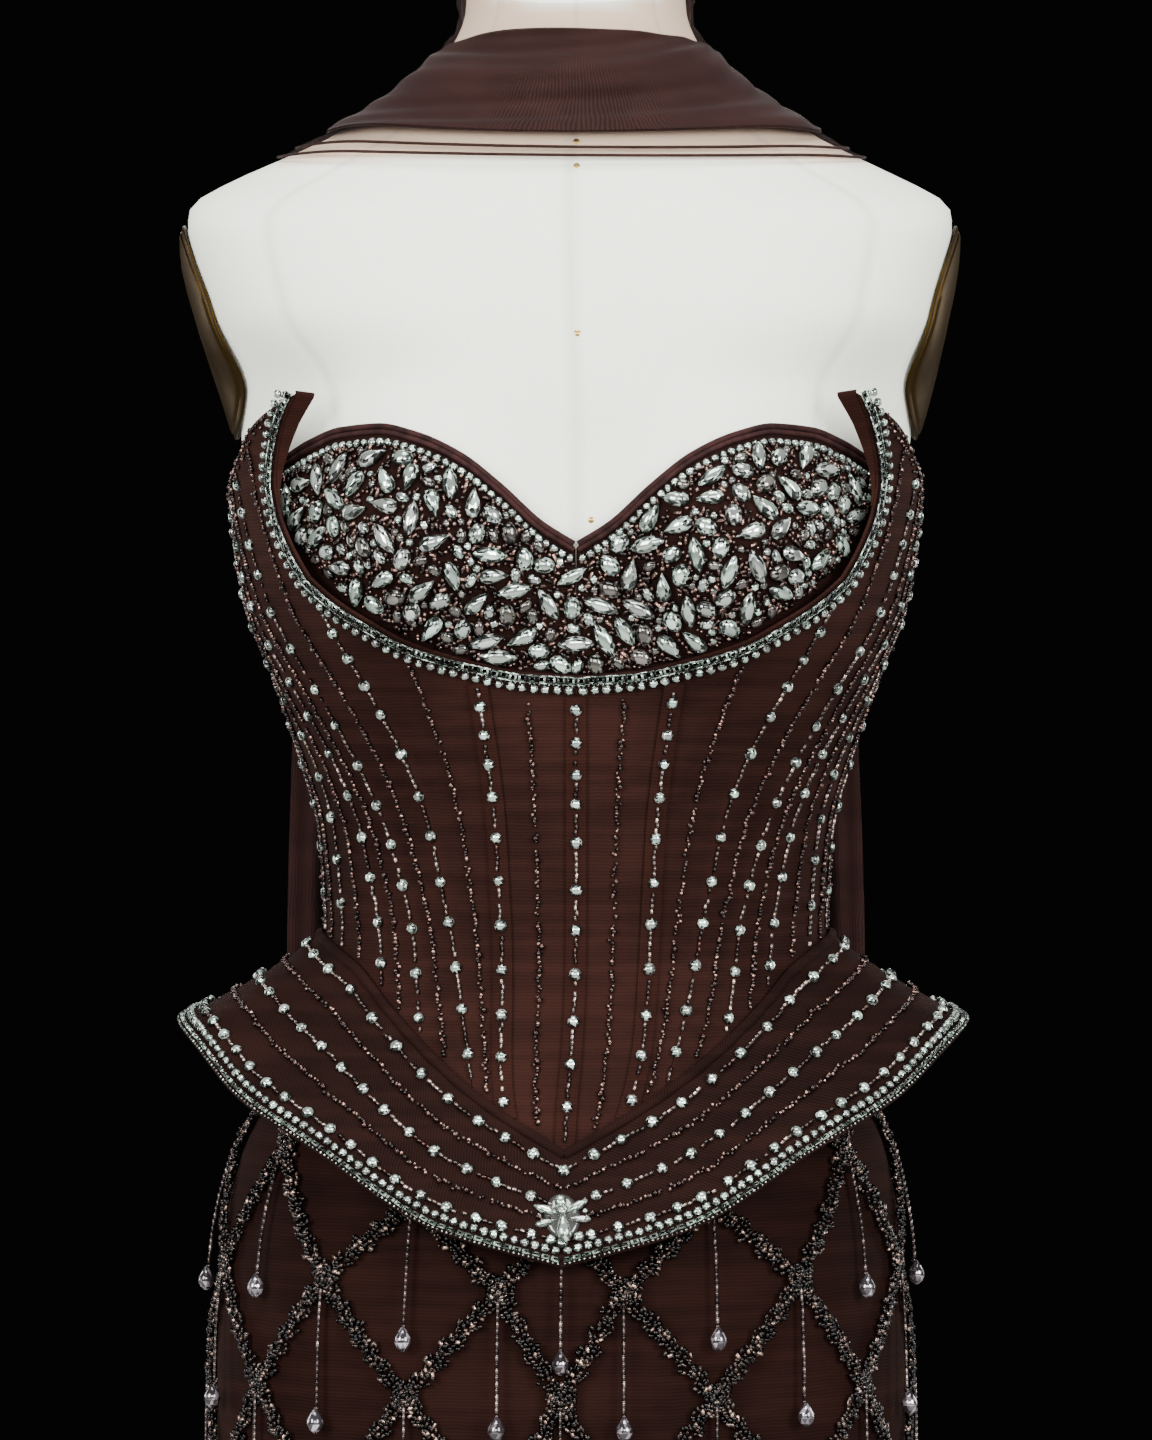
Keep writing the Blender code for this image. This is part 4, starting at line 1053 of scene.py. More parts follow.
def net_finish(name, tone, dark, light, weave=0.45, slant=0.0, lining_and_painted_light=False):
    """Fine net: ribs across with a weaker set upright, on cloth with a cloudy tone.

    The tone runs from a dark to a light share of itself, and a slant turns the ribs.  Where
    the lining shows and where painted light lies, the piece's lanes lean to the lining's colour.
    """
    made = Finish(name, tone, 0.82, Sheen_Weight=0.02, Sheen_Roughness=0.45)
    made.shader.inputs["Sheen Tint"].default_value = (0.80, 0.50, 0.42, 1.0)
    made.shader.inputs["Specular IOR Level"].default_value = 0.05
    u, v = made.uv()
    pitch = sizes().net_pitch
    if slant:
        v = made.sum("ADD", v, made.sum("MULTIPLY", u, slant))
    wobble = made.sum("MULTIPLY", made.noise(60.0), 0.0022)
    across = made.ribs(made.sum("ADD", v, wobble), pitch)
    upright = made.ribs(u, pitch * 0.8)
    net = made.sum("MULTIPLY_ADD", upright, 0.30, made.sum("MULTIPLY", across, 0.70))
    cloud = made.ramp(made.noise(9.0, 4.0), 0.34, 0.68)
    streak = made.ramp(made.noise(34.0, 2.0, (0.35, 0.35, 4.0)), 0.38, 0.66)
    share = made.sum("MULTIPLY_ADD", net, weave * 0.7, made.sum("MULTIPLY", streak, 0.30))
    share = made.sum("MULTIPLY_ADD", cloud, 0.38, share)
    base = made.mix(share, times(dark, tone), times(light, tone))
    if lining_and_painted_light:
        # lining that shows through, and painted light on the corset's lower centre front
        lane = made.node("ShaderNodeAttribute", attribute_name="lane").outputs["Fac"]
        base = made.mix(made.sum("MULTIPLY", lane, 0.50), base, colours().lining)
    made.to("Base Color", base)
    made.bump(net, 0.0002, 0.6)
    return made


def tulle_finish():
    """Dark tulle of the corset, with the lining showing through beside the boning and a painted light
    on its lower centre front.
    """
    return net_finish("dark_tulle", colours().tulle, 0.40, 1.70, lining_and_painted_light=True)


def peplum_finish():
    """Darker tulle of the peplum, its coarser ribs on the slant."""
    return net_finish("peplum_tulle", colours().tulle, 0.12, 0.95, 0.9, 0.9)


def skirt_finish():
    """Reddish tulle of the skirt."""
    return net_finish("skirt_tulle", colours().skirt, 0.40, 1.60, 0.6)


def boning_finish():
    """The lining's own cloth, for the boning's channels and the wings' facings."""
    return net_finish("boning_tulle", colours().lining, 0.38, 1.00, 0.6)


def cup_finish():
    """Dark tulle under the cups' stones."""
    return net_finish("cup_tulle", colours().tulle, 0.30, 0.95, 0.5)


def binding_finish():
    """Matt burgundy cloth, a little uneven in tone."""
    tone = colours().binding
    made = Finish("burgundy_binding", tone, 0.75)
    made.shader.inputs["Specular IOR Level"].default_value = 0.12
    cloud = made.ramp(made.noise(180.0, 3.0), 0.35, 0.65)
    made.to("Base Color", made.mix(cloud, times(0.6, tone), times(1.5, tone)))
    made.bump(made.noise(900.0), 0.0002, 0.5)
    return made


def stole_finish(name, alpha):
    """Sheer net with one see-through share all over, and fine lines down its length."""
    tone = colours().stole
    made = Finish(name, tone, 0.80, Sheen_Weight=0.04, Alpha=alpha)
    made.shader.inputs["Specular IOR Level"].default_value = 0.10
    u, _ = made.uv()
    wobble = made.sum("MULTIPLY", made.noise(40.0, 3.0), 0.006)
    net = made.ribs(made.sum("ADD", u, wobble), sizes().net_pitch)
    lines = made.ramp(made.noise(30.0, 3.0, (1.0, 1.0, 2.5)), 0.35, 0.65)
    share = made.sum("MULTIPLY_ADD", net, 0.70, made.sum("MULTIPLY", lines, 0.30))
    made.to("Base Color", made.mix(share, times(0.50, tone), times(1.55, tone)))
    return made


def linen_finish():
    """Plain weave, softly uneven, with the seams' hairlines, and a warm painted shade where the stole
    covers it.
    """
    linen = colours().linen
    made = Finish("white_linen", linen, 0.85, Sheen_Weight=0.08)
    at = made.node("ShaderNodeSeparateXYZ", {
        0: made.node("ShaderNodeTexCoord").outputs["Object"],
    })
    weave = made.sum("MULTIPLY", made.ribs(at.outputs[0], 0.0011), made.ribs(at.outputs[2], 0.0011))
    cloud = made.ramp(made.noise(5.0, 5.0), 0.30, 0.70)
    slub = made.ramp(made.noise(60.0, 3.0, (6.0, 6.0, 0.6)), 0.45, 0.75)
    tone = made.mix(cloud, times(0.95, linen), linen)
    tone = made.mix(made.sum("MULTIPLY", slub, 0.08), tone, (0.70, 0.69, 0.62))
    # painted shade: where the stole's single layer covers the linen, the linen is painted a warmer,
    # darker tone for the tinted light that passes through the stole
    veil = made.node("ShaderNodeAttribute", attribute_name="veil").outputs["Fac"]
    tone = made.mix(veil, tone, (0.84, 0.62, 0.45))
    line = made.node("ShaderNodeAttribute", attribute_name="lane").outputs["Fac"]
    made.to("Base Color", made.mix(made.sum("MULTIPLY", line, 0.34), tone, (0.45, 0.43, 0.38)))
    made.bump(weave, 0.0001, 0.5)
    return made


def plate_finish():
    """Dull brass, brushed round and a little tarnished."""
    tone = colours().plate
    made = Finish("ochre_brass", tone, 0.50, 1.0)
    tarnish = made.ramp(made.noise(22.0, 5.0), 0.35, 0.70)
    made.to("Base Color", made.mix(tarnish, tone, times(0.55, tone)))
    made.to("Roughness", made.sum("MULTIPLY_ADD", tarnish, 0.2, 0.42))
    made.bump(made.noise(260.0, 2.0, (1.0, 1.0, 0.1)), 0.0002, 0.4)
    return made


def stand_finish():
    """Dark metal, rubbed lighter here and there."""
    tone = colours().stand
    made = Finish("dark_metal", tone, 0.40, 0.85)
    rub = made.ramp(made.noise(40.0, 5.0), 0.45, 0.75)
    made.to("Base Color", made.mix(rub, tone, times(1.8, tone)))
    made.to("Roughness", made.sum("MULTIPLY_ADD", rub, 0.18, 0.32))
    made.bump(made.noise(500.0), 0.0002, 0.3)
    return made


def tinted(name, roughness, metallic, **values):
    """A finish whose colour is each facet's tint: its stone's or bead's own tone with painted shade
    and painted glints on the facets.
    """
    made = Finish(name, (0.5, 0.5, 0.5), roughness, metallic, **values)
    made.to("Base Color", made.node("ShaderNodeAttribute", attribute_name="tint").outputs["Color"])
    return made


def crystal_finish():
    """Foil-backed cut stones."""
    return tinted("cut_crystal", 0.10, 0.60, Coat_Weight=0.3, Coat_Roughness=0.05)


def bead_finish():
    """Seed beads and bugles of lustred glass."""
    return tinted("glass_beads", 0.22, 0.80, Coat_Weight=0.4, Coat_Roughness=0.08)


def drop_finish():
    """The faceted drops."""
    return tinted("drop_glass", 0.10, 0.70, Coat_Weight=0.5, Coat_Roughness=0.03)


def pin_finish():
    """Brass heads of the pins in the form."""
    made = Finish("brass_pin", (0.45, 0.30, 0.10), 0.30, 0.9)
    made.to("Roughness", made.sum("MULTIPLY_ADD", made.noise(800.0), 0.2, 0.2))
    return made


FINISH_MAKERS = {
    "tulle": tulle_finish, "peplum": peplum_finish, "skirt": skirt_finish,
    "boning": boning_finish, "cup": cup_finish, "binding": binding_finish,
    "stole": lambda: stole_finish("stole_single", 0.14),
    "stole_fold": lambda: stole_finish("stole_folded", 0.80),
    "stole_tail": lambda: stole_finish("stole_tail", 0.88),
    "linen": linen_finish, "plate": plate_finish, "stand": stand_finish,
    "crystal": crystal_finish, "beads": bead_finish, "drops": drop_finish, "pin": pin_finish,
}


# ---------------- the dress form

FORM_SEAMS = (0.0, 44.0, -44.0, 180.0, 130.0, -130.0)
FORM_SEAM_HALF = 0.0013
FORM_SEAM_DEPTH = 0.0003
PINS = ((0.8, 1.4717), (1.15, 1.4593), (0.65, 1.3763), (2.5, 1.2861))
# radius and height down the profiles of the neck cap, the pole and the base
CAP_PROFILE = (
    (0.010, NECK_TOP + 0.0220), (0.0125, NECK_TOP + 0.0195), (0.0135, NECK_TOP + 0.0140),
    (0.0120, NECK_TOP + 0.0105), (0.0200, NECK_TOP + 0.0085), (0.0420, NECK_TOP + 0.0072),
    (0.0455, NECK_TOP + 0.0050), (0.0460, NECK_TOP + 0.0003),
)
POLE_PROFILE = (
    (POLE_RADIUS - 0.0015, FORM_BOTTOM - SEAM_GAP), (POLE_RADIUS, FORM_BOTTOM - 0.002),
    (POLE_RADIUS, 0.40), (POLE_RADIUS + 0.0012, 0.398), (POLE_RADIUS + 0.0012, 0.372),
    (POLE_RADIUS, 0.370), (POLE_RADIUS, BASE_HEIGHT + SEAM_GAP),
)
BASE_PROFILE = (
    (0.0200, BASE_HEIGHT), (0.0340, BASE_HEIGHT - 0.0004), (0.0420, 0.0250),
    (0.0600, 0.0200), (0.1000, 0.0175), (0.1900, 0.0140), (0.2060, 0.0110),
    (BASE_RADIUS, 0.0070), (BASE_RADIUS, 0.0012), (BASE_RADIUS - 0.0012, 0.0),
)


def form_out(height):
    """How far the form's surface lies off the body surface; negative is inside it."""
    return -FORM_INSET * ease((FORM_INSET_TOP + FORM_INSET_FADE - height) / FORM_INSET_FADE)


def form_face(angle, height):
    """The form's own surface."""
    return skin(angle, height, form_out(height))


def make_form():
    """The covered torso, its cap and stand, the arm plates, and a few pins down the front."""
    make_form_cover()
    turned("form_cap", CAP_PROFILE, "form_neck_cap")
    turned("form_stand_pole", POLE_PROFILE, "form_pole")
    turned("form_stand_base", BASE_PROFILE, "form_base")
    for side, word in ((-1, "left"), (1, "right")):
        arm_plate(f"form_plate_{word}", side, f"form_arm_plate_{word}")
    pins = Beadwork(3)
    angle, height = np.array(PINS).T
    spot, across, up, facing = axes_on(form_face, angle, height)
    axes = np.stack((across, facing, up), axis=-1)
    pins.put(bead_shape(12), spot, axes, (0.0016, 0.0011, 0.0016), (1.0, 1.0, 1.0))
    pins.make("form_pins", finish("pin"), "arm_plate", crease=80.0)


def make_form_cover():
    """Rings of the body surface, with a shallow groove along each seam of the cover."""
    around, rows = 180, 150
    angle = np.broadcast_to(np.arange(around) * 360.0 / around, (rows, around))
    tall = np.broadcast_to(np.linspace(NECK_TOP, FORM_BOTTOM, rows)[:, None], angle.shape)
    spread = np.degrees(FORM_SEAM_HALF / along(BODY, 1, tall))
    line = np.zeros(angle.shape)
    for at in FORM_SEAMS:
        line = np.maximum(line, np.exp(-((way_round(at, angle) / spread) ** 2)))
    points = skin(angle, tall, form_out(tall) - FORM_SEAM_DEPTH * line)
    made = loft("form_cover", points, finish("linen"), ("form_torso",))
    add_value(made.data, "lane", np.concatenate((line.reshape(-1), (0.0, 0.0))))
    # painted shade of the stole: 1 on the linen from the stole's hem up to its top, where the linen
    # gets its painted warm shade
    top, hem = wrap_levels(np.abs(way_round(0.0, angle)))
    veil = ease((tall - hem) / 0.003 + 0.5) * ease((top - tall) / 0.003 + 0.5)
    add_value(made.data, "veil", np.concatenate((veil.reshape(-1), (0.0, 0.0))))


def turned(name, profile, node):
    """A profile of radius and height pairs, top to bottom, turned about the Z axis."""
    profile = np.array(profile)
    turn = np.arange(96) * 2 * math.pi / 96
    loops = np.stack(np.broadcast_arrays(
        profile[:, :1] * np.sin(turn), -profile[:, :1] * np.cos(turn), profile[:, 1:]), axis=-1)
    return loft(name, loops, finish("stand"), (node,), 35.0)


def arm_plate(name, side, node):
    """A dished oval plate over the form's armhole, its inner face just off the form."""
    turn = np.arange(72) * 2 * math.pi / 72
    loops = []
    for scale, off in PLATE_RINGS:
        y = PLATE_HALF_DEPTH * scale * np.cos(turn)
        z = PLATE_HEIGHT + PLATE_HALF_HEIGHT * scale * np.sin(turn)
        deep = np.where(y < 0, along(BODY, 2, z), along(BODY, 3, z))
        x = along(BODY, 1, z) * section_depth(y / deep, z) + along(BODY, 4, z) * side + off
        loops.append(np.stack((x, y, z), axis=-1))
    loops = np.array(loops)
    loops = loops[:, ::-1] if side > 0 else loops * (-1, 1, 1)
    return loft(name, loops, finish("plate"), (node,), 30.0)


# ---------------- corset

# the channels over the boning: half width, lift off the corset, swell of their middle, and
# how far they end from the panel's foot and from its top
BONING_HALF = 0.0048
BONING_ABOVE = 0.0009
BONING_SWELL = 0.0006
BONING_ENDS = (0.0030, 0.0100)
OVER_BONING = 0.0016       # lift of the stones that are sewn on a channel
# lines beside which the lining shows, each with its strength
LANES = ((2, 0.75), (3, 0.6), (4, 0.45), (5, 0.35))
LANE_HALF = 0.0045
# the turned strip inside each wing: its top, its foot and its depth at the tip
FACING_TOP = 1.3455
FACING_FOOT = 1.2930
FACING_DEPTH = 0.0105
# soft creases of the corset's tulle: angle and height of both ends, rise, half width
CREASES = (
    (3.5, 1.196, 9.0, 1.120, 0.0007, 0.0035),
    (9.0, 1.120, 12.0, 1.095, 0.0005, 0.0030),
    (-8.0, 1.200, -4.5, 1.130, 0.0006, 0.0030),
    (27.0, 1.205, 21.0, 1.150, 0.0006, 0.0035),
    (-30.0, 1.206, -24.0, 1.150, 0.0006, 0.0035),
    (44.0, 1.215, 33.0, 1.160, 0.0007, 0.0040),
    (-45.0, 1.214, -34.0, 1.150, 0.0007, 0.0040),
    (60.0, 1.200, 50.0, 1.130, 0.0006, 0.0040),
    (-62.0, 1.205, -52.0, 1.135, 0.0006, 0.0040),
)


def creases(angle, height):
    """Soft ridges, each a bell across the distance from its own short line."""
    rise = np.zeros(np.shape(angle))
    x, y = angle * DEGREE_LENGTH, height
    for a0, h0, a1, h1, top, half in CREASES:
        line = np.array(((a1 - a0) * DEGREE_LENGTH, h1 - h0))
        run = np.clip(((x - a0 * DEGREE_LENGTH) * line[0] + (y - h0) * line[1])
                      / (line @ line), 0.0, 1.0)
        off = np.hypot(x - a0 * DEGREE_LENGTH - run * line[0], y - h0 - run * line[1])
        rise = rise + top * np.exp(-((off / half) ** 2)) * np.sin(math.pi * np.clip(
            run * 0.8 + 0.1, 0.0, 1.0))
    return rise


def lanes(angle, height):
    """1 along the crystal lines beside the boned ones, where the lining shows through, and a soft
    painted light on the lower centre front.
    """
    reach = np.maximum(along(BODY, 1, height), 0.05)
    lane = np.zeros(np.shape(angle))
    for column, strength in LANES:
        for sign in (-1, 1):
            off = np.radians(angle - sign * fan_line(column, height)) * reach
            lane = np.maximum(lane, strength * np.exp(-((off / LANE_HALF) ** 2)))
    lane = lane * ease((1.205 - height) / 0.05)
    # painted light: a soft lit patch on the lower centre front, which the finish turns towards the
    # lining's colour
    painted_front_light = 0.55 * np.exp(-((angle / 26.0) ** 2)) * ease((1.150 - height) / 0.10)
    return np.maximum(lane, painted_front_light)


def front_panel(left_line, right_line, columns, rows):
    """Angles and heights of a panel between two crystal lines, from the top edge down."""
    u = np.linspace(0.0, 1.0, columns)
    low = np.full(columns, 1.02)
    top = np.full(columns, 1.21)
    for _ in range(20):
        low = seam(fan_line(left_line, low) * (1 - u) + fan_line(right_line, low) * u)
        top_angle = fan_line(left_line, top) * (1 - u) + fan_line(right_line, top) * u
        top = along(FRONT_EDGE, 1, top_angle)
    v = np.linspace(0.0, 1.0, rows)[:, None]
    height = top * (1 - v) + low * v
    return fan_line(left_line, height) * (1 - u) + fan_line(right_line, height) * u, height


def even_path(points, count):
    """Angle and height pairs respaced evenly along their path."""
    points = np.asarray(points, float)
    length = lengths(points * (DEGREE_LENGTH, 1.0), 0)
    at = np.linspace(0.0, length[-1], count)
    return np.stack([np.interp(at, length, points[:, k]) for k in (0, 1)], axis=-1)


def smooth_edge(table, count):
    """A table of angles and heights as a finer path, rounded by a spline through them."""
    run = np.column_stack((lengths(table * (DEGREE_LENGTH, 1.0), 0), table))
    at = np.linspace(0.0, run[-1, 0], count)
    return np.stack((along(run, 1, at), along(run, 2, at)), axis=-1)


def side_panel(seam_line, columns, wing_rows):
    """The panel that rises into the wing: a Coons patch between its four edges."""
    u = np.linspace(0.0, 1.0, columns)
    low = np.full(columns, seam_line[-1, 1])
    for _ in range(30):
        low_angle = fan_line(2, low) * (1 - u) + 90.0 * u
        low = seam(low_angle)
    left = np.concatenate((seam_line[::-1], even_path(smooth_edge(WING_EDGE, 80), wing_rows + 1)[1:]))
    step = np.linalg.norm(np.diff(left * (DEGREE_LENGTH, 1.0), axis=0), axis=1)
    v = np.concatenate(((0.0,), np.cumsum(step))) / step.sum()
    right = np.stack((np.full(v.shape, 90.0), low[-1] + (WING_TOP[-1, 1] - low[-1]) * v), axis=-1)
    bottom = np.stack((low_angle, low), axis=-1)
    top = even_path(smooth_edge(WING_TOP, 80), columns)
    v = v[:, None, None]
    u = u[None, :, None]
    corners = (
        (1 - u) * (1 - v) * bottom[0] + u * (1 - v) * bottom[-1]
        + (1 - u) * v * top[0] + u * v * top[-1]
    )
    patch = (
        (1 - u) * left[:, None] + u * right[:, None]
        + (1 - v) * bottom[None] + v * top[None] - corners
    )[::-1]
    return patch[..., 0], patch[..., 1]


def back_panel(columns, rows):
    """Angles and heights of the panel from the side seam round to the centre back."""
    angle = np.linspace(90.0, 180.0, columns)
    v = np.linspace(0.0, 1.0, rows)[:, None]
    height = upper_edge(angle + 1e-6) * (1 - v) + seam(angle) * v
    return np.broadcast_to(angle, height.shape), height


def shrink(angle, height):
    """Draws a panel's first and last columns in by half a seam's gap."""
    angle = angle.copy()
    for column, sign in ((0, 1), (-1, -1)):
        reach = np.linalg.norm(body(angle[:, column] + 0.5, height[:, column])
                               - body(angle[:, column] - 0.5, height[:, column]), axis=-1)
        angle[:, column] += sign * SEAM_GAP / 2 / reach
    return angle, height


def both_sides(angle, height):
    """The right panel and the left one as its mirror image."""
    return (("right", angle, height), ("left", -angle[:, ::-1], height[:, ::-1]))


def make_corset():
    """Four panels a side over the body, each from its own grid of angles and heights."""
    panels = {
        "corset_front": front_panel(0, 1, 20, 90),
        "corset_mid": front_panel(1, 2, 20, 90),
        "corset_back": back_panel(64, 64),
    }
    seam_line = np.stack([values[:, -1] for values in panels["corset_mid"]], axis=-1)
    panels["corset_side"] = side_panel(seam_line, 50, 44)
    for cut, (angle, height) in panels.items():
        angle, height = shrink(angle, height)
        for word, turn, tall in both_sides(angle, height):
            inner = skin(turn, tall, corset_out(turn, tall))
            made = shell(f"{cut}_{word}_cloth", inner, CORSET_WALL, finish("tulle"),
                         (f"{cut}_{word}",), cloth_uv(turn, tall), lanes(turn, tall),
                         creases(turn, tall))
    make_boning(*panels["corset_front"])


def make_boning(angle, height):
    """Padded channels over the centre seam and over the outer seam of each front panel."""
    for name, column, side in (("centre", 0, 1), ("right", -1, 1), ("left", -1, -1)):
        tall = height[:, column]
        tall = np.clip(tall, tall.min() + BONING_ENDS[0], tall.max() - BONING_ENDS[1])
        width = np.degrees(BONING_HALF / along(BODY, 1, tall))[:, None]
        share = np.linspace(-1.0, 1.0, 9)
        turn = side * angle[:, column, None] + share * width
        keep = np.concatenate(((True,), np.diff(tall) < -1e-6))
        tall = np.broadcast_to(tall[:, None], turn.shape)
        out = corset_out(turn, tall) + CORSET_WALL + BONING_ABOVE + creases(turn, tall)
        inner = skin(turn, tall, out)[keep]
        uv = cloth_uv(turn, tall)[keep]
        swell = BONING_SWELL * np.broadcast_to((1 - share**2) ** 0.7, inner.shape[:2])
        made = shell(f"boning_{name}_channel", inner, BONING_WALL * 0.6, finish("boning"),
                     (f"boning_{name}",), uv, swell=swell)


def on_corset(path, below, inside):
    """A mask of the points of a path that lie on the corset, clear of its edges."""
    angle, height = np.abs(path[:, 0]), path[:, 1]
    turn, tall = WING_EDGE[0]
    front = (angle < turn) & (height < along(FRONT_EDGE, 1, angle) - inside)
    wing = (height < upper_edge(angle) - inside * 0.5) & (
        (height < tall - inside) | (angle > wing_angle(height) + 3.6)
    ) & (angle >= turn)
    return (front | wing) & (height > seam(angle) + below)


def make_corset_lines():
    """Crystal lines and bead lines by turns that fan down from the top edge to the V seam."""
    work, beads = Beadwork(11), Beadwork(12)
    height = np.linspace(1.345, 0.980, 900)
    for column in np.arange(0, 24.5) / 2:
        line = fan_line(column, height)
        for side in ((1, -1) if 0 < column < 12 else (1,)):
            path = np.column_stack((side * line, height))
            path = path[on_corset(path, 0.006, 0.0115)]
            if column == int(column):
                start = 0.005 + 0.004 * (column % 3)
                lift = OVER_BONING if column in (0, 1) else 0.0
                crystal_line(work, beads, creased_face, path, start, above=lift)
            else:
                bead_line(beads, creased_face, path, 0.0017)
    work.make("corset_crystals", finish("crystal"), "crystal")
    beads.make("corset_beads", finish("beads"), "beads")


def make_wing_facings():
    """A turned strip inside each wing, widest at the tip, that leads back to the body."""
    t = np.linspace(1.0, 0.0, 14)
    height = np.linspace(FACING_TOP, FACING_FOOT, 60)[:, None]
    rise = np.clip((height - FACING_FOOT) / (FACING_TOP - FACING_FOOT), 0.0, 1.0)
    share = t * (0.06 + 0.94 * rise**1.2)
    edge = wing_angle(height)
    angle = edge + 0.2 - share
    out = corset_out(edge, height) + 0.0002 - FACING_DEPTH * share
    tall = np.broadcast_to(height, angle.shape)
    for side, word in SIDES:
        points = skin(side * angle, tall, out)[:, ::side]
        made = shell(f"corset_wing_facing_{word}", points, 0.0008, finish("boning"))


def offset_path(path, distance):
    """A path moved to its right by a distance, on the flat of angle lengths and heights."""
    flat = path * (DEGREE_LENGTH, 1.0)
    ahead = unit(np.gradient(flat, axis=0))
    right = np.stack((ahead[:, 1], -ahead[:, 0]), axis=-1)
    return (flat + right * distance) / (DEGREE_LENGTH, 1.0)


# the corset's edging: stone, distance of its row from the edge, step, size, lift
CORSET_EDGING = (
    (baguette_shape, 0.0022, 0.0046, (0.0015, 0.0020, 0.0010), 0.0016),
    (chaton_shape, 0.0070, 0.0056, (0.0022, 0.0022, 0.0024), 0.0016),
    (bead_shape, 0.0046, 0.0023, (0.0008, 0.0010, 0.0008), 0.0016),
    (bugle_shape, 0.0004, 0.0034, (0.0004, 0.0033, 0.0004), 0.0022),
    (bugle_shape, 0.0040, 0.0034, (0.0004, 0.0033, 0.0004), 0.0022),
)
# bead lines along the corset's top from the wing to the back: distance from the edge, step
TOP_BEADS = ((0.0022, 0.0030), (0.0060, 0.0044))


def make_corset_trim():
    """Baguettes, small beads and round stones between fine bugles, then the top's beads."""
    front = smooth_edge(FRONT_EDGE, 120)
    wing = smooth_edge(WING_EDGE, 160)
    edge = even_path(np.concatenate((front, wing[1:])), 300)
    for side, word in SIDES:
        work = Beadwork(21 + side)
        for kind, inward, step, size, above in CORSET_EDGING:
            path = offset_path(edge, inward) * (side, 1.0)
            chain(work, corset_face, path, kind(), step, size, above)
        work.make(f"corset_trim_{word}_stones", finish("crystal"), "crystal",
                  (f"corset_trim_{word}",))
    beads = Beadwork(25)
    angle = np.linspace(51.0, 180.0, 300)
    for side in (1, -1):
        for drop, step in TOP_BEADS:
            path = np.column_stack((side * angle, upper_edge(angle) - drop))
            bead_line(beads, corset_face, path, step)
    beads.make("corset_edge_beads", finish("beads"), "beads")


# ---------------- cups

STONES = (
    # kind, half width, half length, how many are tried for, smoky share
    ("navette", 0.0040, 0.0090, 34, 0.0),
    ("pear", 0.0052, 0.0080, 34, 0.0),
    ("oval", 0.0043, 0.0058, 46, 0.15),
    ("oval", 0.0027, 0.0040, 150, 0.55),
    ("round", 0.0022, 0.0022, 160, 0.5),
)
# where they are tried: greatest angle, lowest and highest place, how many times
STONE_TRIES = (62.0, 1.214, 1.327, 4200)
SEED_TRIES = (63.0, 1.212, 1.330, 15000)
STONE_ROOM = 0.90          # a stone's clear space as a share of its half width
SEED_GAP = 0.0018          # from one seed's middle to the next
SEED_CLEAR = 0.0003        # from a seed's middle to a stone's clear space
BINDING_RISE = 0.0016      # middle of the upper roll over the cups' edge
CHAIN_DROP = 0.0062        # the chain under the cups' edge


def cup_room(angle, height, margin):
    """True where a stone that needs this margin fits on the cups."""
    turn = np.abs(angle)
    top = along(CUPS, 1, turn) - 0.0075 - margin
    low = along(FRONT_EDGE, 1, turn) + 0.0010 + margin
    behind = 170.0 * np.clip(height - 1.255, 0.0, 1.0)
    wing = wing_angle(height) - 0.8 - margin / DEGREE_LENGTH + behind
    return (height < top) & (height > low) & (turn < wing)


def make_cups():
    """Two shells over the bust, a bound edge, a chain, then stones laid where they fit."""
    angle = np.linspace(0.0, CUP_END, 60)
    v = np.linspace(0.0, 1.0, 46)[:, None]
    height = along(CUPS, 1, angle) * (1 - v) + along(CUPS, 2, angle) * v
    angle, height = shrink(np.broadcast_to(angle, height.shape), height)
    for word, turn, tall in both_sides(angle, height):
        inner = skin(turn, tall, EASE)
        made = shell(f"cup_{word}_cloth", inner, CUP_WALL, finish("cup"),
                     (f"cup_{word}",), cloth_uv(turn, tall))
    make_cup_binding()
    work = Beadwork(31)
    turn = np.linspace(0.4, 60.0, 200)
    for side in (1, -1):
        path = np.column_stack((side * turn, along(CUPS, 1, turn) - CHAIN_DROP))
        chain(work, cup_face, path, chaton_shape(), 0.0044, (sizes().chain,) * 3, 0.0006)
    work.make("cup_chain", finish("crystal"), "crystal")
    make_cup_stones()


def make_cup_binding():
    """Two thin rolls, one under the other, along each cup's edge."""
    turn = np.linspace(0.35, CUP_END - 0.5, 220)
    for side, word in SIDES:
        for part, drop, out, half, nodes in (
            ("edge", 0.0, 0.0010, BINDING_HALF, (f"cup_binding_{word}",)),
            ("fold", 0.0027, 0.0006, BINDING_HALF * 0.9, ()),
        ):
            tall = along(CUPS, 1, turn) - drop + BINDING_RISE
            spot, _, _, facing = axes_on(cup_face, side * turn, tall)
            path = (spot + facing * out)[::side]
            loops = cord_loops(path, facing[::side], half, half * 0.85, 12)
            loft(f"cup_binding_{word}_{part}", loops[:, ::-1], finish("binding"),
                 nodes, 60.0)


def tried_places(random, area):
    """Angles and heights drawn at random over the cups."""
    turn, low, high, count = area
    return random.uniform(-turn, turn, count), random.uniform(low, high, count)


def make_cup_stones():
    """Large stones first, then smaller ones, then seeds, each kept clear of those before it."""
    work, beads = Beadwork(32), Beadwork(33)
    taken, reach = lay_cup_stones(work)
    work.make("cup_stones", finish("crystal"), "crystal")
    lay_cup_seeds(beads, work.random, taken, reach)
    beads.make("cup_beads", finish("beads"), "beads")


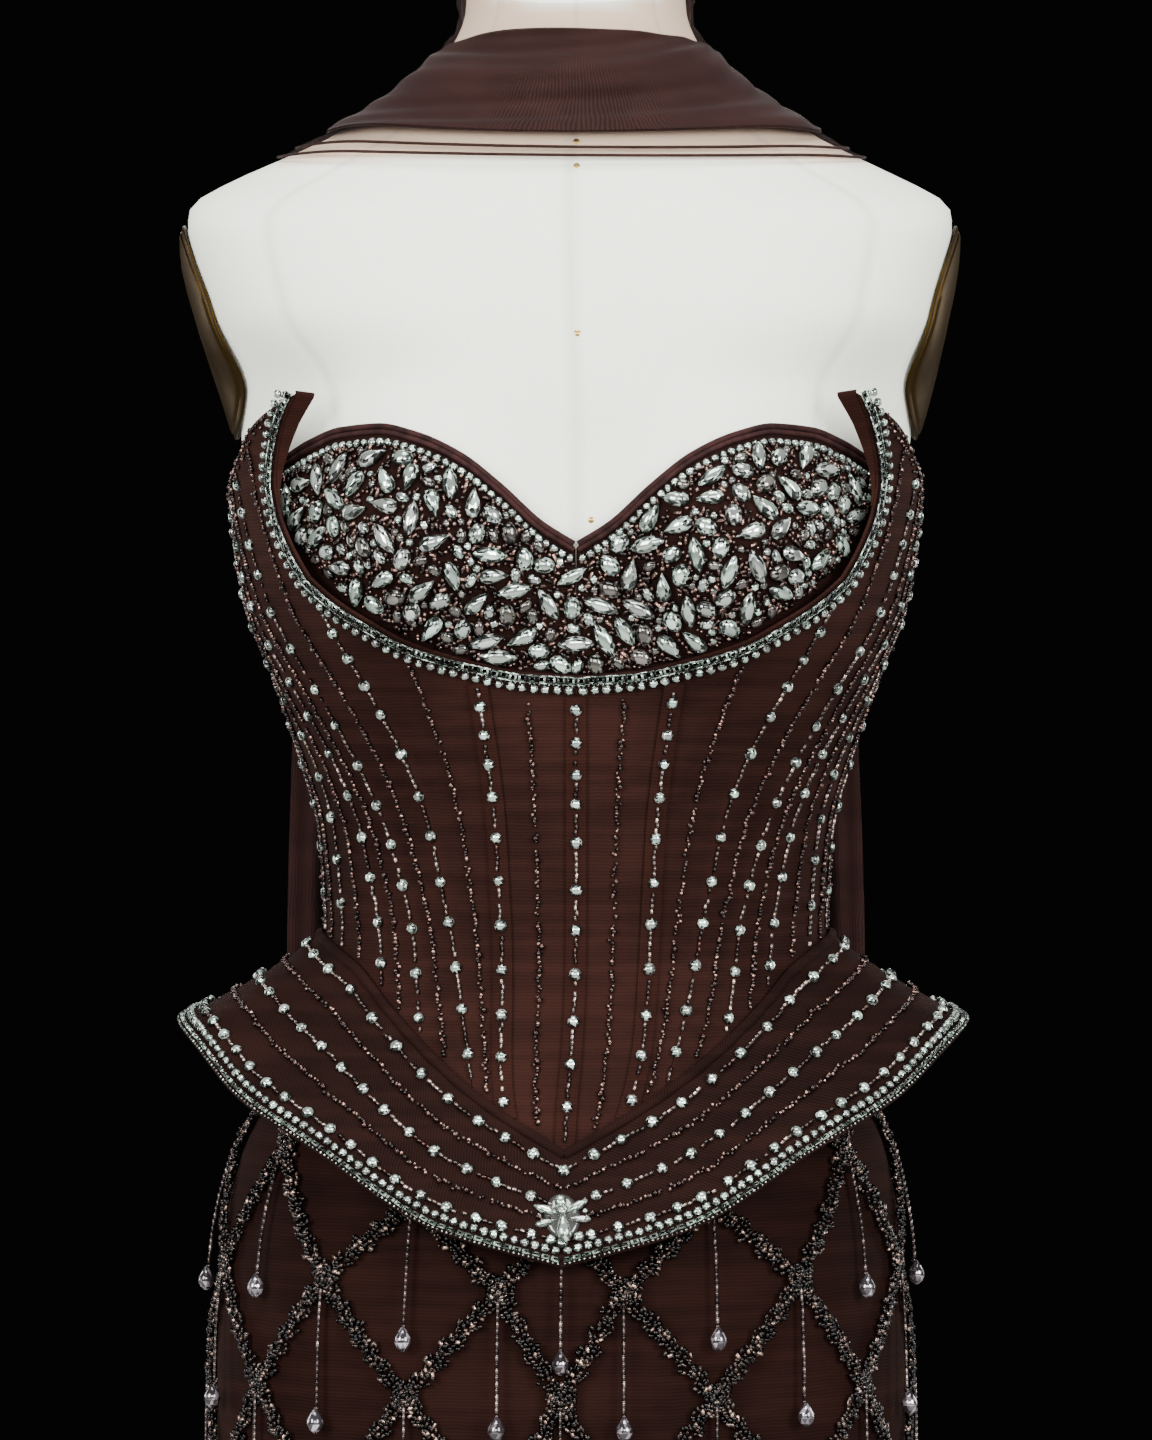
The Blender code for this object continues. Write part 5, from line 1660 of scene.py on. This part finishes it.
def lay_cup_stones(work):
    """Lays the stones where they fit; three balls stand for each stone's clear space."""
    random = work.random
    taken, reach = np.zeros((0, 3)), np.zeros(0)
    for kind, half, long, wanted, smoky in STONES:
        angle, height = tried_places(random, STONE_TRIES)
        turn = random.uniform(0.0, math.pi * 2, len(angle))
        room = cup_room(angle, height, half * 0.8)
        angle, height, turn = angle[room], height[room], turn[room]
        spot, across, up, facing = axes_on(cup_face, angle, height)
        axes = spin(np.stack((across, up, facing), axis=-1), turn)
        ends = (np.array((-1, 0, 1)) * max(long - half, 0.0))[:, None]
        parts = spot[:, None] + axes[:, None, :, 1] * ends
        chosen = []
        for i in range(len(spot)):
            gap = np.linalg.norm(parts[i][:, None] - taken[None], axis=-1) - reach[None]
            if gap.size and gap.min() < half * STONE_ROOM:
                continue
            chosen.append(i)
            taken = np.concatenate((taken, parts[i]))
            reach = np.concatenate((reach, np.full(3, half * STONE_ROOM)))
            if len(chosen) == wanted:
                break
        chosen = np.array(chosen, int)
        count = len(chosen)
        lift = spot[chosen] + facing[chosen] * (half * 0.30)
        tint = mixed(random, count, TONES["dull cup stone"], colours().crystal)
        dim = random.random((count, 1)) < smoky
        tint = np.where(dim, tint * (0.34, 0.27, 0.27), tint)
        size = np.array((half, long, half * 0.85)) * random.uniform(0.92, 1.04, (count, 1))
        shape = chaton_shape() if kind == "round" else stone_shape(kind, 12)
        work.put(shape, lift, axes[chosen], size, tint, STONE_SPARKLE)
    return taken, reach


def lay_cup_seeds(beads, random, taken, reach):
    """Fills the gaps between the stones with seed beads and short bugles."""
    angle, height = tried_places(random, SEED_TRIES)
    room = cup_room(angle, height, 0.0)
    angle, height = angle[room], height[room]
    spot, across, up, facing = axes_on(cup_face, angle, height)
    kept = np.zeros((0, 3))
    chosen = []
    for i in range(len(spot)):
        clear = np.linalg.norm(spot[i] - taken, axis=-1) - reach
        if clear.min() < SEED_CLEAR:
            continue
        if len(kept) and np.linalg.norm(spot[i] - kept, axis=-1).min() < SEED_GAP:
            continue
        kept = np.concatenate((kept, spot[i:i + 1]))
        chosen.append(i)
    chosen = np.array(chosen, int)
    count = len(chosen)
    axes = spin(np.stack((across, up, facing), axis=-1)[chosen],
                random.uniform(0, math.pi, count))
    radius = random.uniform(0.80, 1.30, (count, 1)) * sizes().seed
    tint = mixed(random, count, colours().smoke, colours().copper, 1.3)
    lifted = spot[chosen] + facing[chosen] * radius * 0.8
    long = random.random(count) < 0.4
    for shape, some, scale in (
        (bead_shape(), ~long, (1.0, 1.3, 1.0)), (bugle_shape(), long, (0.75, 2.5, 0.75)),
    ):
        beads.put(shape, lifted[some], axes[some], radius[some] * scale, tint[some], SEED_SPARKLE)


# ---------------- peplum

# lines of the peplum: share of the way from the edging to the roll, steps near and far
PEPLUM_LINES = ((0.86, 0.75, 0.95), (0.43, 0.79, 0.79), (0.05, 0.67, 0.67))
PEPLUM_BEAD_LINES = (0.65, 0.245)
PEPLUM_EDGING = 0.0095     # height of the stones along the peplum's edge


def peplum_line(turn, share):
    """Rise of a line at a share of the way from the stone edging to the roll."""
    one = 1.0 / peplum_length(turn)
    low, high = PEPLUM_EDGING * one, 1.0 - 0.004 * one
    return low + (high - low) * share


def make_peplum():
    """Four panels with six soft channels, then the rolled seam and the beaded lines."""
    v = np.linspace(0.0, 1.0, 36)[:, None]
    channels = PEPLUM_RIB * (1 - np.cos(2 * math.pi * 6.0 * v)) * np.sin(math.pi * v)
    for name, first, last, cut in (
        ("peplum_front_right", 0.0, 90.0, "peplum_front"),
        ("peplum_back_right", 90.0, 180.0, "peplum_back"),
        ("peplum_back_left", -180.0, -90.0, "peplum_back"),
        ("peplum_front_left", -90.0, 0.0, "peplum_front"),
    ):
        angle = np.linspace(first + 0.06, last - 0.06, 86)
        inner = peplum_point(angle, v)
        made = shell(f"{name}_cloth", inner, PEPLUM_WALL, finish("peplum"), (name,),
                     swell=np.broadcast_to(channels, inner.shape[:2]))
    make_peplum_roll()
    make_peplum_lines()


def make_peplum_roll():
    """The rolled seam over the peplum's top, softly twisted, one for each side."""
    for side, word in SIDES:
        angle = side * np.linspace(0.05, 179.95, 260)[::side]
        spot, _, _, facing = axes_on(peplum_face, angle, np.full(angle.shape, 0.97), step_b=0.01)
        twist = 0.0003 * np.sin(np.radians(angle) * 46.0)[:, None]
        loops = cord_loops(spot + facing * (0.0002 + twist), facing, ROLL_HALF, 0.0015, 14)
        loft(f"peplum_roll_{word}", loops[:, ::-1], finish("peplum"), (), 60.0,
             roll_uv(loops))


def make_peplum_lines():
    """Crystal lines and bead lines round the peplum between its edging and its roll."""
    work, beads = Beadwork(41), Beadwork(42)
    turn = np.linspace(0.0, 180.0, 500)
    for share, near, far in PEPLUM_LINES:
        for side in (1, -1):
            path = np.column_stack((side * turn, peplum_line(turn, share)))
            start = 0.0 if side > 0 else sizes().crystal_step * near
            crystal_line(work, beads, peplum_face, path, start, (near, far), 0.0003, 0.01)
    for share in PEPLUM_BEAD_LINES:
        for side in (1, -1):
            path = np.column_stack((side * turn, peplum_line(turn, share)))
            bead_line(beads, peplum_face, path, 0.0018, 0.0003, 0.01)
    work.make("peplum_crystals", finish("crystal"), "crystal")
    beads.make("peplum_beads", finish("beads"), "beads")


def roll_uv(loops):
    """Cloth coordinates round and along a roll."""
    return np.stack((lengths(loops, 1), lengths(loops, 0)), axis=-1)


# the peplum's edging: stone, height of its row over the edge, step, size
PEPLUM_ROWS = (
    (chaton_shape, 0.0068, 0.0050, (0.0022, 0.0022, 0.0023)),
    (baguette_shape, 0.0025, 0.0047, (0.0010, 0.0020, 0.0013)),
    (bead_shape, 0.0003, 0.0024, (0.0007, 0.0010, 0.0007)),
)


def make_peplum_trim():
    """Round stones over baguettes over small beads, all along the peplum's lower edge."""
    turn = np.linspace(0.3, 179.7, 600)
    share = 1.0 / peplum_length(turn)
    for side, word in SIDES:
        work = Beadwork(51 + side)
        for kind, rise, step, size in PEPLUM_ROWS:
            path = np.column_stack((side * turn, rise * share))
            chain(work, peplum_face, path, kind(), step, size, 0.0014, 0.01)
        work.make(f"peplum_trim_{word}_stones", finish("crystal"), "crystal",
                  (f"peplum_trim_{word}",))


# the brooch's stones: kind, across, up, half width, half length, turn, height
BROOCH = (
    ("pear", 0.0, -0.0062, 0.0046, 0.0084, 0.0, 0.0040),
    ("oval", 0.0, 0.0074, 0.0030, 0.0034, 0.0, 0.0030),
    ("navette", -0.0076, 0.0040, 0.0022, 0.0062, 62.0, 0.0028),
    ("navette", 0.0076, 0.0040, 0.0022, 0.0062, -62.0, 0.0028),
    ("pear", -0.0080, -0.0026, 0.0024, 0.0056, -82.0, 0.0026),
    ("pear", 0.0080, -0.0026, 0.0024, 0.0056, 82.0, 0.0026),
    ("round", 0.0, 0.0018, 0.0021, 0.0021, 0.0, 0.0046),
    ("round", -0.0068, -0.0112, 0.0026, 0.0026, 0.0, 0.0018),
    ("round", 0.0068, -0.0112, 0.0026, 0.0026, 0.0, 0.0018),
    ("round", -0.0112, 0.0016, 0.0014, 0.0014, 0.0, 0.0018),
    ("round", 0.0112, 0.0016, 0.0014, 0.0014, 0.0, 0.0018),
)


def make_brooch():
    """A blossom of navette and pear stones over one large pear, on a small domed back."""
    work = Beadwork(61)
    spot, across, up, facing = axes_on(
        peplum_face, np.zeros(1), np.full(1, 0.42), step_b=0.01)
    axes = np.stack((across, up, facing), axis=-1)
    for kind, right, rise, half, long, turn, off in BROOCH:
        shape = chaton_shape() if kind == "round" else stone_shape(kind, 14)
        at = spot + across * right + up * rise + facing * off
        work.put(shape, at, spin(axes, np.radians([turn])), (half, long, half * 0.9),
                 mixed(work.random, 1, TONES["dull brooch stone"], colours().crystal),
                 BROOCH_SPARKLE)
    work.put(stone_shape("oval", 24), spot + facing * 0.0012, axes,
             (0.0086, 0.0118, 0.0018), TONES["brooch back"], 0.3)
    work.make("brooch_stones", finish("crystal"), "crystal", ("brooch",))


# ---------------- skirt and net

def make_skirt():
    """The body surface moved out by the ease, from the V seam down to the knee."""
    rows = np.linspace(0.0, 1.0, 80)[:, None]
    for name, first, last in (("skirt_front", -90.0, 90.0), ("skirt_back", 90.0, 270.0)):
        angle = np.linspace(first, last, 100)
        turn = np.where(angle > 180.0, 360.0 - angle, np.abs(angle))
        height = (seam(turn) - 0.0006) * (1 - rows) + (KNEE + SEAM_GAP) * rows
        angle, height = shrink(np.broadcast_to(angle, height.shape), height)
        soft = 0.0004 * np.sin(np.radians(angle) * 9.0 + 14.0 * height) * ease(
            (0.97 - height) / 0.10)
        inner = skin(angle, height, EASE)
        uv = np.stack((angle * 0.0028, height), axis=-1)
        made = shell(f"{name}_cloth", inner, SKIRT_WALL, finish("skirt"), (name,), uv,
                     swell=soft * (soft > 0))
    v = np.linspace(0.0, 1.0, 50)[:, None]
    for name, first, last in (("flounce_front", -90.0, 90.0), ("flounce_back", 90.0, 270.0)):
        angle = np.linspace(first + 0.06, last - 0.06, 200)
        made = shell(f"{name}_cloth", flounce_point(angle, v), SKIRT_WALL, finish("skirt"),
                     (name,))


def net_rows():
    """Angle and height of every crossing, row by row, going round from the front."""
    rows = []
    for front, side, back, kind in NET_ROWS:
        half = NET_AT if kind == "at" else NET_BETWEEN
        turns = list(half) + [360.0 - a for a in reversed(half) if 0.0 < a < 180.0]
        levels = np.array(((0.0, front), (24.0, front + (side - front) * 0.2), (60.0, side),
                           (100.0, side), (180.0, back)))
        rows.append([(a, float(along(levels, 1, min(a, 360.0 - a)))) for a in turns])
    return rows


def net_face(angle, height):
    """The surface in the middle of the net's ropes."""
    return skin(angle, height, NET_OUT)


ROPE_STEP = 0.0021
ROPE_HALF = 0.00112        # half the thickness of a rope's bugles
# a rope's four strings: side, distance from the rope's middle, length of the bugles
ROPE_STRINGS = (
    (-1, 0.0031, 0.0027), (1, 0.0031, 0.0027), (-1, 0.0012, 0.0022), (1, 0.0012, 0.0022),
)
KNOT_REACH = 0.0070
STRAND_STEP = 0.0031
STRAND_HALF = 0.00095
FRONT_NET_END = 91.0       # the angle at which the front net meets the back one


def lay_rope(beads, start, end):
    """Short bugles laid askew along a path in four strings that swell and shrink by turns."""
    random = beads.random
    share = np.linspace(0.0, 1.0, 60)[:, None]
    path = between(start, end, share)
    total = path_length(net_face, path)
    at = np.arange(0.0010, total, ROPE_STEP)
    for side, far, long in ROPE_STRINGS:
        s = at + random.uniform(-0.5, 0.5, len(at)) * ROPE_STEP
        rise = 0.0016 - 0.55 * far
        spot, axes = walk(net_face, path, s, rise + random.uniform(-0.0005, 0.0009, len(s)))
        swell = 1.0 + 0.38 * np.sin(2 * math.pi * s / sizes().rope_turn + 2.0 * side)
        off = far * swell * random.uniform(0.80, 1.15, len(s))
        spot = spot + axes[:, :, 0] * (side * off)[:, None]
        axes = spin(axes, side * 0.95 + random.normal(0, 0.55, len(s)))
        scale = np.array((ROPE_HALF, long, ROPE_HALF)) * random.uniform(0.8, 1.15, (len(s), 1))
        beads.put(bugle_shape(), spot, axes, scale, rope_tints(random, len(s)), ROPE_SPARKLE)


def rope_tints(random, count):
    """Mostly black brown, some copper, and a few painted bright as painted highlights."""
    return mixed(random, count, TONES["dark rope"], TONES["bright rope and painted glint"], 6.5)


def knot(beads, angle, height):
    """A crowded cluster of bugles and beads over a crossing."""
    random = beads.random
    reach = float(along(BODY, 1, height))
    for shape, count, size in (
        (bugle_shape(), 40, np.array((0.00105, 0.0024, 0.00105))),
        (bead_shape(), 12, sizes().rope_bead * np.array((1.0, 1.15, 1.0))),
    ):
        turn = random.uniform(0, 2 * math.pi, count)
        far = KNOT_REACH * np.sqrt(random.random(count))
        a = angle + np.degrees(far * np.cos(turn) / reach)
        b = height + far * np.sin(turn)
        spot, across, up, facing = axes_on(net_face, a, b)
        axes = spin(np.stack((across, up, facing), axis=-1), turn)
        lift = (0.0028 - 0.30 * far + random.uniform(-0.0010, 0.0006, count))[:, None]
        scale = size * random.uniform(0.85, 1.20, (count, 1))
        tint = rope_tints(random, count)
        beads.put(shape, spot + facing * lift, axes, scale, tint, ROPE_SPARKLE)


def hang_strand(beads, drops, angle, height, fall):
    """Fine bugles straight down from a crossing, then a small bead and a faceted drop."""
    random = beads.random
    reach = (height - 0.004) - np.arange(0.002, fall, STRAND_STEP)
    count = len(reach)
    down = np.linspace(0.0, 1.0, count)
    turn = np.full(count, angle)
    spot = skin(turn, reach, NET_OUT + 0.0022 + 0.0012 * down)
    _, across, _, _ = axes_on(net_face, turn, reach)
    up = np.zeros_like(across)
    up[:, 2] = 1.0
    facing = unit(np.cross(across, up))
    axes = np.stack((across, up, facing), axis=-1)
    tint = mixed(random, count, TONES["dark strand"], TONES["bright strand"], 1.2)
    scale = (STRAND_HALF, 0.0029, STRAND_HALF)
    beads.put(bugle_shape(), spot, axes, scale, tint, STRAND_SPARKLE)
    low = spot[-1:] - up[-1:] * 0.0028
    beads.put(bead_shape(), low, axes[-1:], 0.0016, TONES["strand end"], 0.2)
    low = low + facing[-1:] * 0.0014
    tint = mixed(random, 1, TONES["dark drop"], TONES["bright drop"])
    drops.put(drop_shape(), low, axes[-1:], sizes().drop, tint, DROP_SPARKLE)


def at_front(angle):
    """True where the front net covers the skirt."""
    return abs(way_round(0.0, angle)) <= FRONT_NET_END


def make_net():
    """Ropes from each crossing to its two neighbours below, a knot and a strand at each."""
    rows = net_rows()
    drops = Beadwork(70)
    for word, front in (("front", True), ("back", False)):
        ropes, strands = Beadwork(71 + len(word)), Beadwork(81 + len(word))
        for r, row in enumerate(rows):
            below = rows[r + 1] if r + 1 < len(rows) else []
            for at in row:
                if at_front(at[0]) == front:
                    knot(ropes, *at)
                    fall = STRAND_FALL * ropes.random.uniform(0.94, 1.06)
                    hang_strand(strands, drops, at[0], at[1], fall)
                ends = [low for low in below if 0.0 < abs(way_round(at[0], low[0])) < 20.0]
                if r == 0:
                    ends += [(at[0] + s * 11.0, at[1] + 0.024) for s in (-1, 1)]
                for low in ends:
                    turn = way_round(at[0], low[0])
                    if at_front(at[0] + turn / 2) == front:
                        lay_rope(ropes, at, (at[0] + turn, low[1]))
        ropes.make(f"bead_net_{word}_ropes", finish("beads"), "beads", (f"bead_net_{word}",))
        strands.make(f"bead_net_{word}_strands", finish("beads"), "beads")
    drops.make("bead_net_drops", finish("drops"), "crystal")


# ---------------- stole

def wrap_layer(name, first, last, out, key, replaces):
    """One layer of the stole between two shares of its height, with fine gathers."""
    angle = np.linspace(-WRAP_END, WRAP_END, 180)
    first = first * (1.0 + 1.9 * np.clip(np.abs(angle) / 90.0, 0.0, 1.0) ** 2)
    v = first + (last - first) * np.linspace(0.0, 1.0, 44)[:, None]
    top, hem = wrap_levels(angle)
    height = top * (1 - v) + hem * v
    turn = np.broadcast_to(angle, height.shape)
    fine = 0.0005 * np.sin(2 * math.pi * 9.0 * v + np.radians(turn) * 5.0)
    points = skin(turn, height, wrap_out(v, turn) + out + fine)
    uv = cloth_uv(turn * 0.7, height)
    made = shell(name, points, STOLE_WALL * 0.5, finish(key), replaces, uv)


def make_stole():
    """A single layer over neck and shoulders, folded layers on it, hems and two tails."""
    wrap_layer("stole_neck_single", 0.0, 1.0, 0.0, "stole", ("stole_neck_wrap",))
    wrap_layer("stole_neck_fold_under", 0.17, 0.875, 0.0010, "stole_fold", ())
    wrap_layer("stole_neck_fold_over", 0.18, 0.870, 0.0020, "stole_fold", ())
    angle = np.linspace(-WRAP_END, WRAP_END, 300)
    top, hem = wrap_levels(angle)
    for index, share in enumerate((0.955, 1.0)):
        height = top * (1 - share) + hem * share
        out = wrap_out(np.full(angle.shape, share), angle) + 0.0006
        spot = skin(angle, height, out)
        facing = unit(spot - body(angle, height))
        loops = cord_loops(spot, facing, 0.0008, 0.0007, 8)
        loft(f"stole_hem_{index + 1}", loops[:, ::-1], finish("stole_tail"), (), 60.0,
             roll_uv(loops))
    for side, word in SIDES:
        points = tail_points(side, 70, 90)[:, ::-side]
        made = shell(f"stole_tail_{word}_cloth", points, STOLE_WALL, finish("stole_tail"),
                     (f"stole_tail_{word}",))


# ---------------- stage

LENS = 140.0
SENSOR = 36.0
CAMERA = (0.0, -2.8, 1.19)


CHEST = (0.0, 0.0, 1.2)
# the lights: name, place, whose power they have, width, height
LIGHTS = (
    ("key_left", (-2.3, -2.6, 2.0), "key", 1.4, 1.8),
    ("key_right", (2.3, -2.6, 2.0), "key", 1.4, 1.8),
    ("front", (0.0, -3.6, 1.9), "front", 2.2, 0.9),
    ("top", (0.0, -0.9, 3.4), "top", 1.6, 1.2),
    ("side_left", (-2.4, 1.2, 1.5), "rim", 0.6, 1.8),
    ("side_right", (2.4, 1.2, 1.5), "rim", 0.6, 1.8),
    ("back", (0.0, 3.0, 2.4), "rim", 1.8, 1.2),
)


def add_light(name, at, power, width, tall):
    """An area light that faces the form's chest."""
    data = bpy.data.lights.new(name, "AREA")
    data.shape = "RECTANGLE"
    data.size, data.size_y, data.energy = width, tall, power
    made = bpy.data.objects.new(name, data)
    made.location = at
    way = np.array(at) - np.array(CHEST)
    flat = math.hypot(way[0], way[1])
    made.rotation_euler = (math.atan2(flat, way[2]), 0.0, math.atan2(way[0], -way[1]))
    bpy.context.scene.collection.objects.link(made)


def make_floor():
    """A pale round floor."""
    stage = bpy.context.scene.gown_stage
    turn = np.arange(128) * 2 * math.pi / 128
    ring = np.column_stack((np.sin(turn), -np.cos(turn), np.zeros(128))) * stage.floor_radius
    points = np.concatenate((ring, ((0.0, 0.0, 0.0),)))
    i, j = round_steps(128)
    data = fill_mesh("floor", points, [np.stack((i, j, np.full(128, 128)), axis=-1)])
    floor = bpy.data.objects.new("floor", data)
    bpy.context.scene.collection.objects.link(floor)
    made = Finish("pale_floor", stage.floor, 0.6)
    cloud = made.ramp(made.noise(1.5, 4.0), 0.3, 0.7)
    made.to("Base Color", made.mix(cloud, times(0.94, stage.floor), stage.floor))
    data.materials.append(made.material)


def make_stage():
    """The floor, soft lights all round, the room's even light, and the camera."""
    make_floor()
    stage = bpy.context.scene.gown_stage
    for name, at, power, width, tall in LIGHTS:
        add_light(name, at, getattr(stage, power), width, tall)
    world = bpy.data.worlds.new("room")
    world.use_nodes = True
    ground = world.node_tree.nodes["Background"]
    ground.inputs["Color"].default_value = (1.0, 1.0, 1.0, 1.0)
    ground.inputs["Strength"].default_value = stage.room
    bpy.context.scene.world = world
    lens = bpy.data.cameras.new("camera")
    lens.lens, lens.sensor_width = LENS, SENSOR
    lens.clip_end = 100.0
    camera = bpy.data.objects.new("camera", lens)
    camera.location = CAMERA
    camera.rotation_euler = (math.radians(90.0), 0.0, 0.0)
    bpy.context.scene.collection.objects.link(camera)
    bpy.context.scene.camera = camera


# ---------------- operators

class GownStep:
    """What the operators share: each runs its own functions in turn."""

    makers = ()

    def execute(self, context):
        for make in self.makers:
            make()
        return {"FINISHED"}


class GOWN_OT_form(GownStep, bpy.types.Operator):
    """Build the dress form, its stand, arm plates and pins"""

    bl_idname = "gown.form"
    bl_label = "Dress form"
    makers = (make_form,)


class GOWN_OT_corset(GownStep, bpy.types.Operator):
    """Build the corset's panels, boning channels and wing facings"""

    bl_idname = "gown.corset"
    bl_label = "Corset"
    makers = (make_corset, make_wing_facings)


class GOWN_OT_corset_lines(GownStep, bpy.types.Operator):
    """Sew the crystal and bead lines on the corset"""

    bl_idname = "gown.corset_lines"
    bl_label = "Corset lines"
    makers = (make_corset_lines,)


class GOWN_OT_corset_trim(GownStep, bpy.types.Operator):
    """Set the crystal edging along the corset's upper edge"""

    bl_idname = "gown.corset_trim"
    bl_label = "Corset edging"
    makers = (make_corset_trim,)


class GOWN_OT_cups(GownStep, bpy.types.Operator):
    """Build the cups with their bound edge, chain, stones and beads"""

    bl_idname = "gown.cups"
    bl_label = "Cups"
    makers = (make_cups,)


class GOWN_OT_peplum(GownStep, bpy.types.Operator):
    """Build the peplum, its rolled seam and its lines"""

    bl_idname = "gown.peplum"
    bl_label = "Peplum"
    makers = (make_peplum,)


class GOWN_OT_peplum_trim(GownStep, bpy.types.Operator):
    """Set the crystal edging along the peplum's lower edge"""

    bl_idname = "gown.peplum_trim"
    bl_label = "Peplum edging"
    makers = (make_peplum_trim,)


class GOWN_OT_brooch(GownStep, bpy.types.Operator):
    """Set the blossom brooch at the point of the peplum"""

    bl_idname = "gown.brooch"
    bl_label = "Brooch"
    makers = (make_brooch,)


class GOWN_OT_skirt(GownStep, bpy.types.Operator):
    """Build the skirt and its flared foot"""

    bl_idname = "gown.skirt"
    bl_label = "Skirt"
    makers = (make_skirt,)


class GOWN_OT_net(GownStep, bpy.types.Operator):
    """Hang the net of bead ropes and its strands on the skirt"""

    bl_idname = "gown.net"
    bl_label = "Bead net"
    makers = (make_net,)


class GOWN_OT_stole(GownStep, bpy.types.Operator):
    """Drape the tulle stole over the neck and shoulders"""

    bl_idname = "gown.stole"
    bl_label = "Stole"
    makers = (make_stole,)


class GOWN_OT_stage(GownStep, bpy.types.Operator):
    """Lay the floor and place the lights and the camera"""

    bl_idname = "gown.stage"
    bl_label = "Stage"
    makers = (make_stage,)


STEPS = (
    GOWN_OT_form, GOWN_OT_corset, GOWN_OT_corset_lines, GOWN_OT_corset_trim, GOWN_OT_cups,
    GOWN_OT_peplum, GOWN_OT_peplum_trim, GOWN_OT_brooch, GOWN_OT_skirt, GOWN_OT_net,
    GOWN_OT_stole, GOWN_OT_stage,
)


class GOWN_PT_panel(bpy.types.Panel):
    """Lists the sizes, the colours and the steps"""

    bl_idname = "GOWN_PT_panel"
    bl_label = "Gown"
    bl_space_type = "VIEW_3D"
    bl_region_type = "UI"
    bl_category = "Gown"

    def draw(self, context):
        for step in STEPS:
            self.layout.operator(step.bl_idname)
        for group in (context.scene.gown_sizes, context.scene.gown_colours,
                      context.scene.gown_stage):
            box = self.layout.box()
            for key in group.__annotations__:
                box.prop(group, key)


CLASSES = (GownSizes, GownColours, GownStage, *STEPS, GOWN_PT_panel)


def register():
    for kind in CLASSES:
        bpy.utils.register_class(kind)
    bpy.types.Scene.gown_sizes = PointerProperty(type=GownSizes)
    bpy.types.Scene.gown_colours = PointerProperty(type=GownColours)
    bpy.types.Scene.gown_stage = PointerProperty(type=GownStage)


def unregister():
    del bpy.types.Scene.gown_stage
    del bpy.types.Scene.gown_colours
    del bpy.types.Scene.gown_sizes
    for kind in reversed(CLASSES):
        bpy.utils.unregister_class(kind)


def main():
    """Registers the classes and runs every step."""
    register()
    for step in STEPS:
        group, name = step.bl_idname.split(".")
        getattr(getattr(bpy.ops, group), name)()
    bpy.context.view_layer.update()


if __name__ == "__main__":
    main()
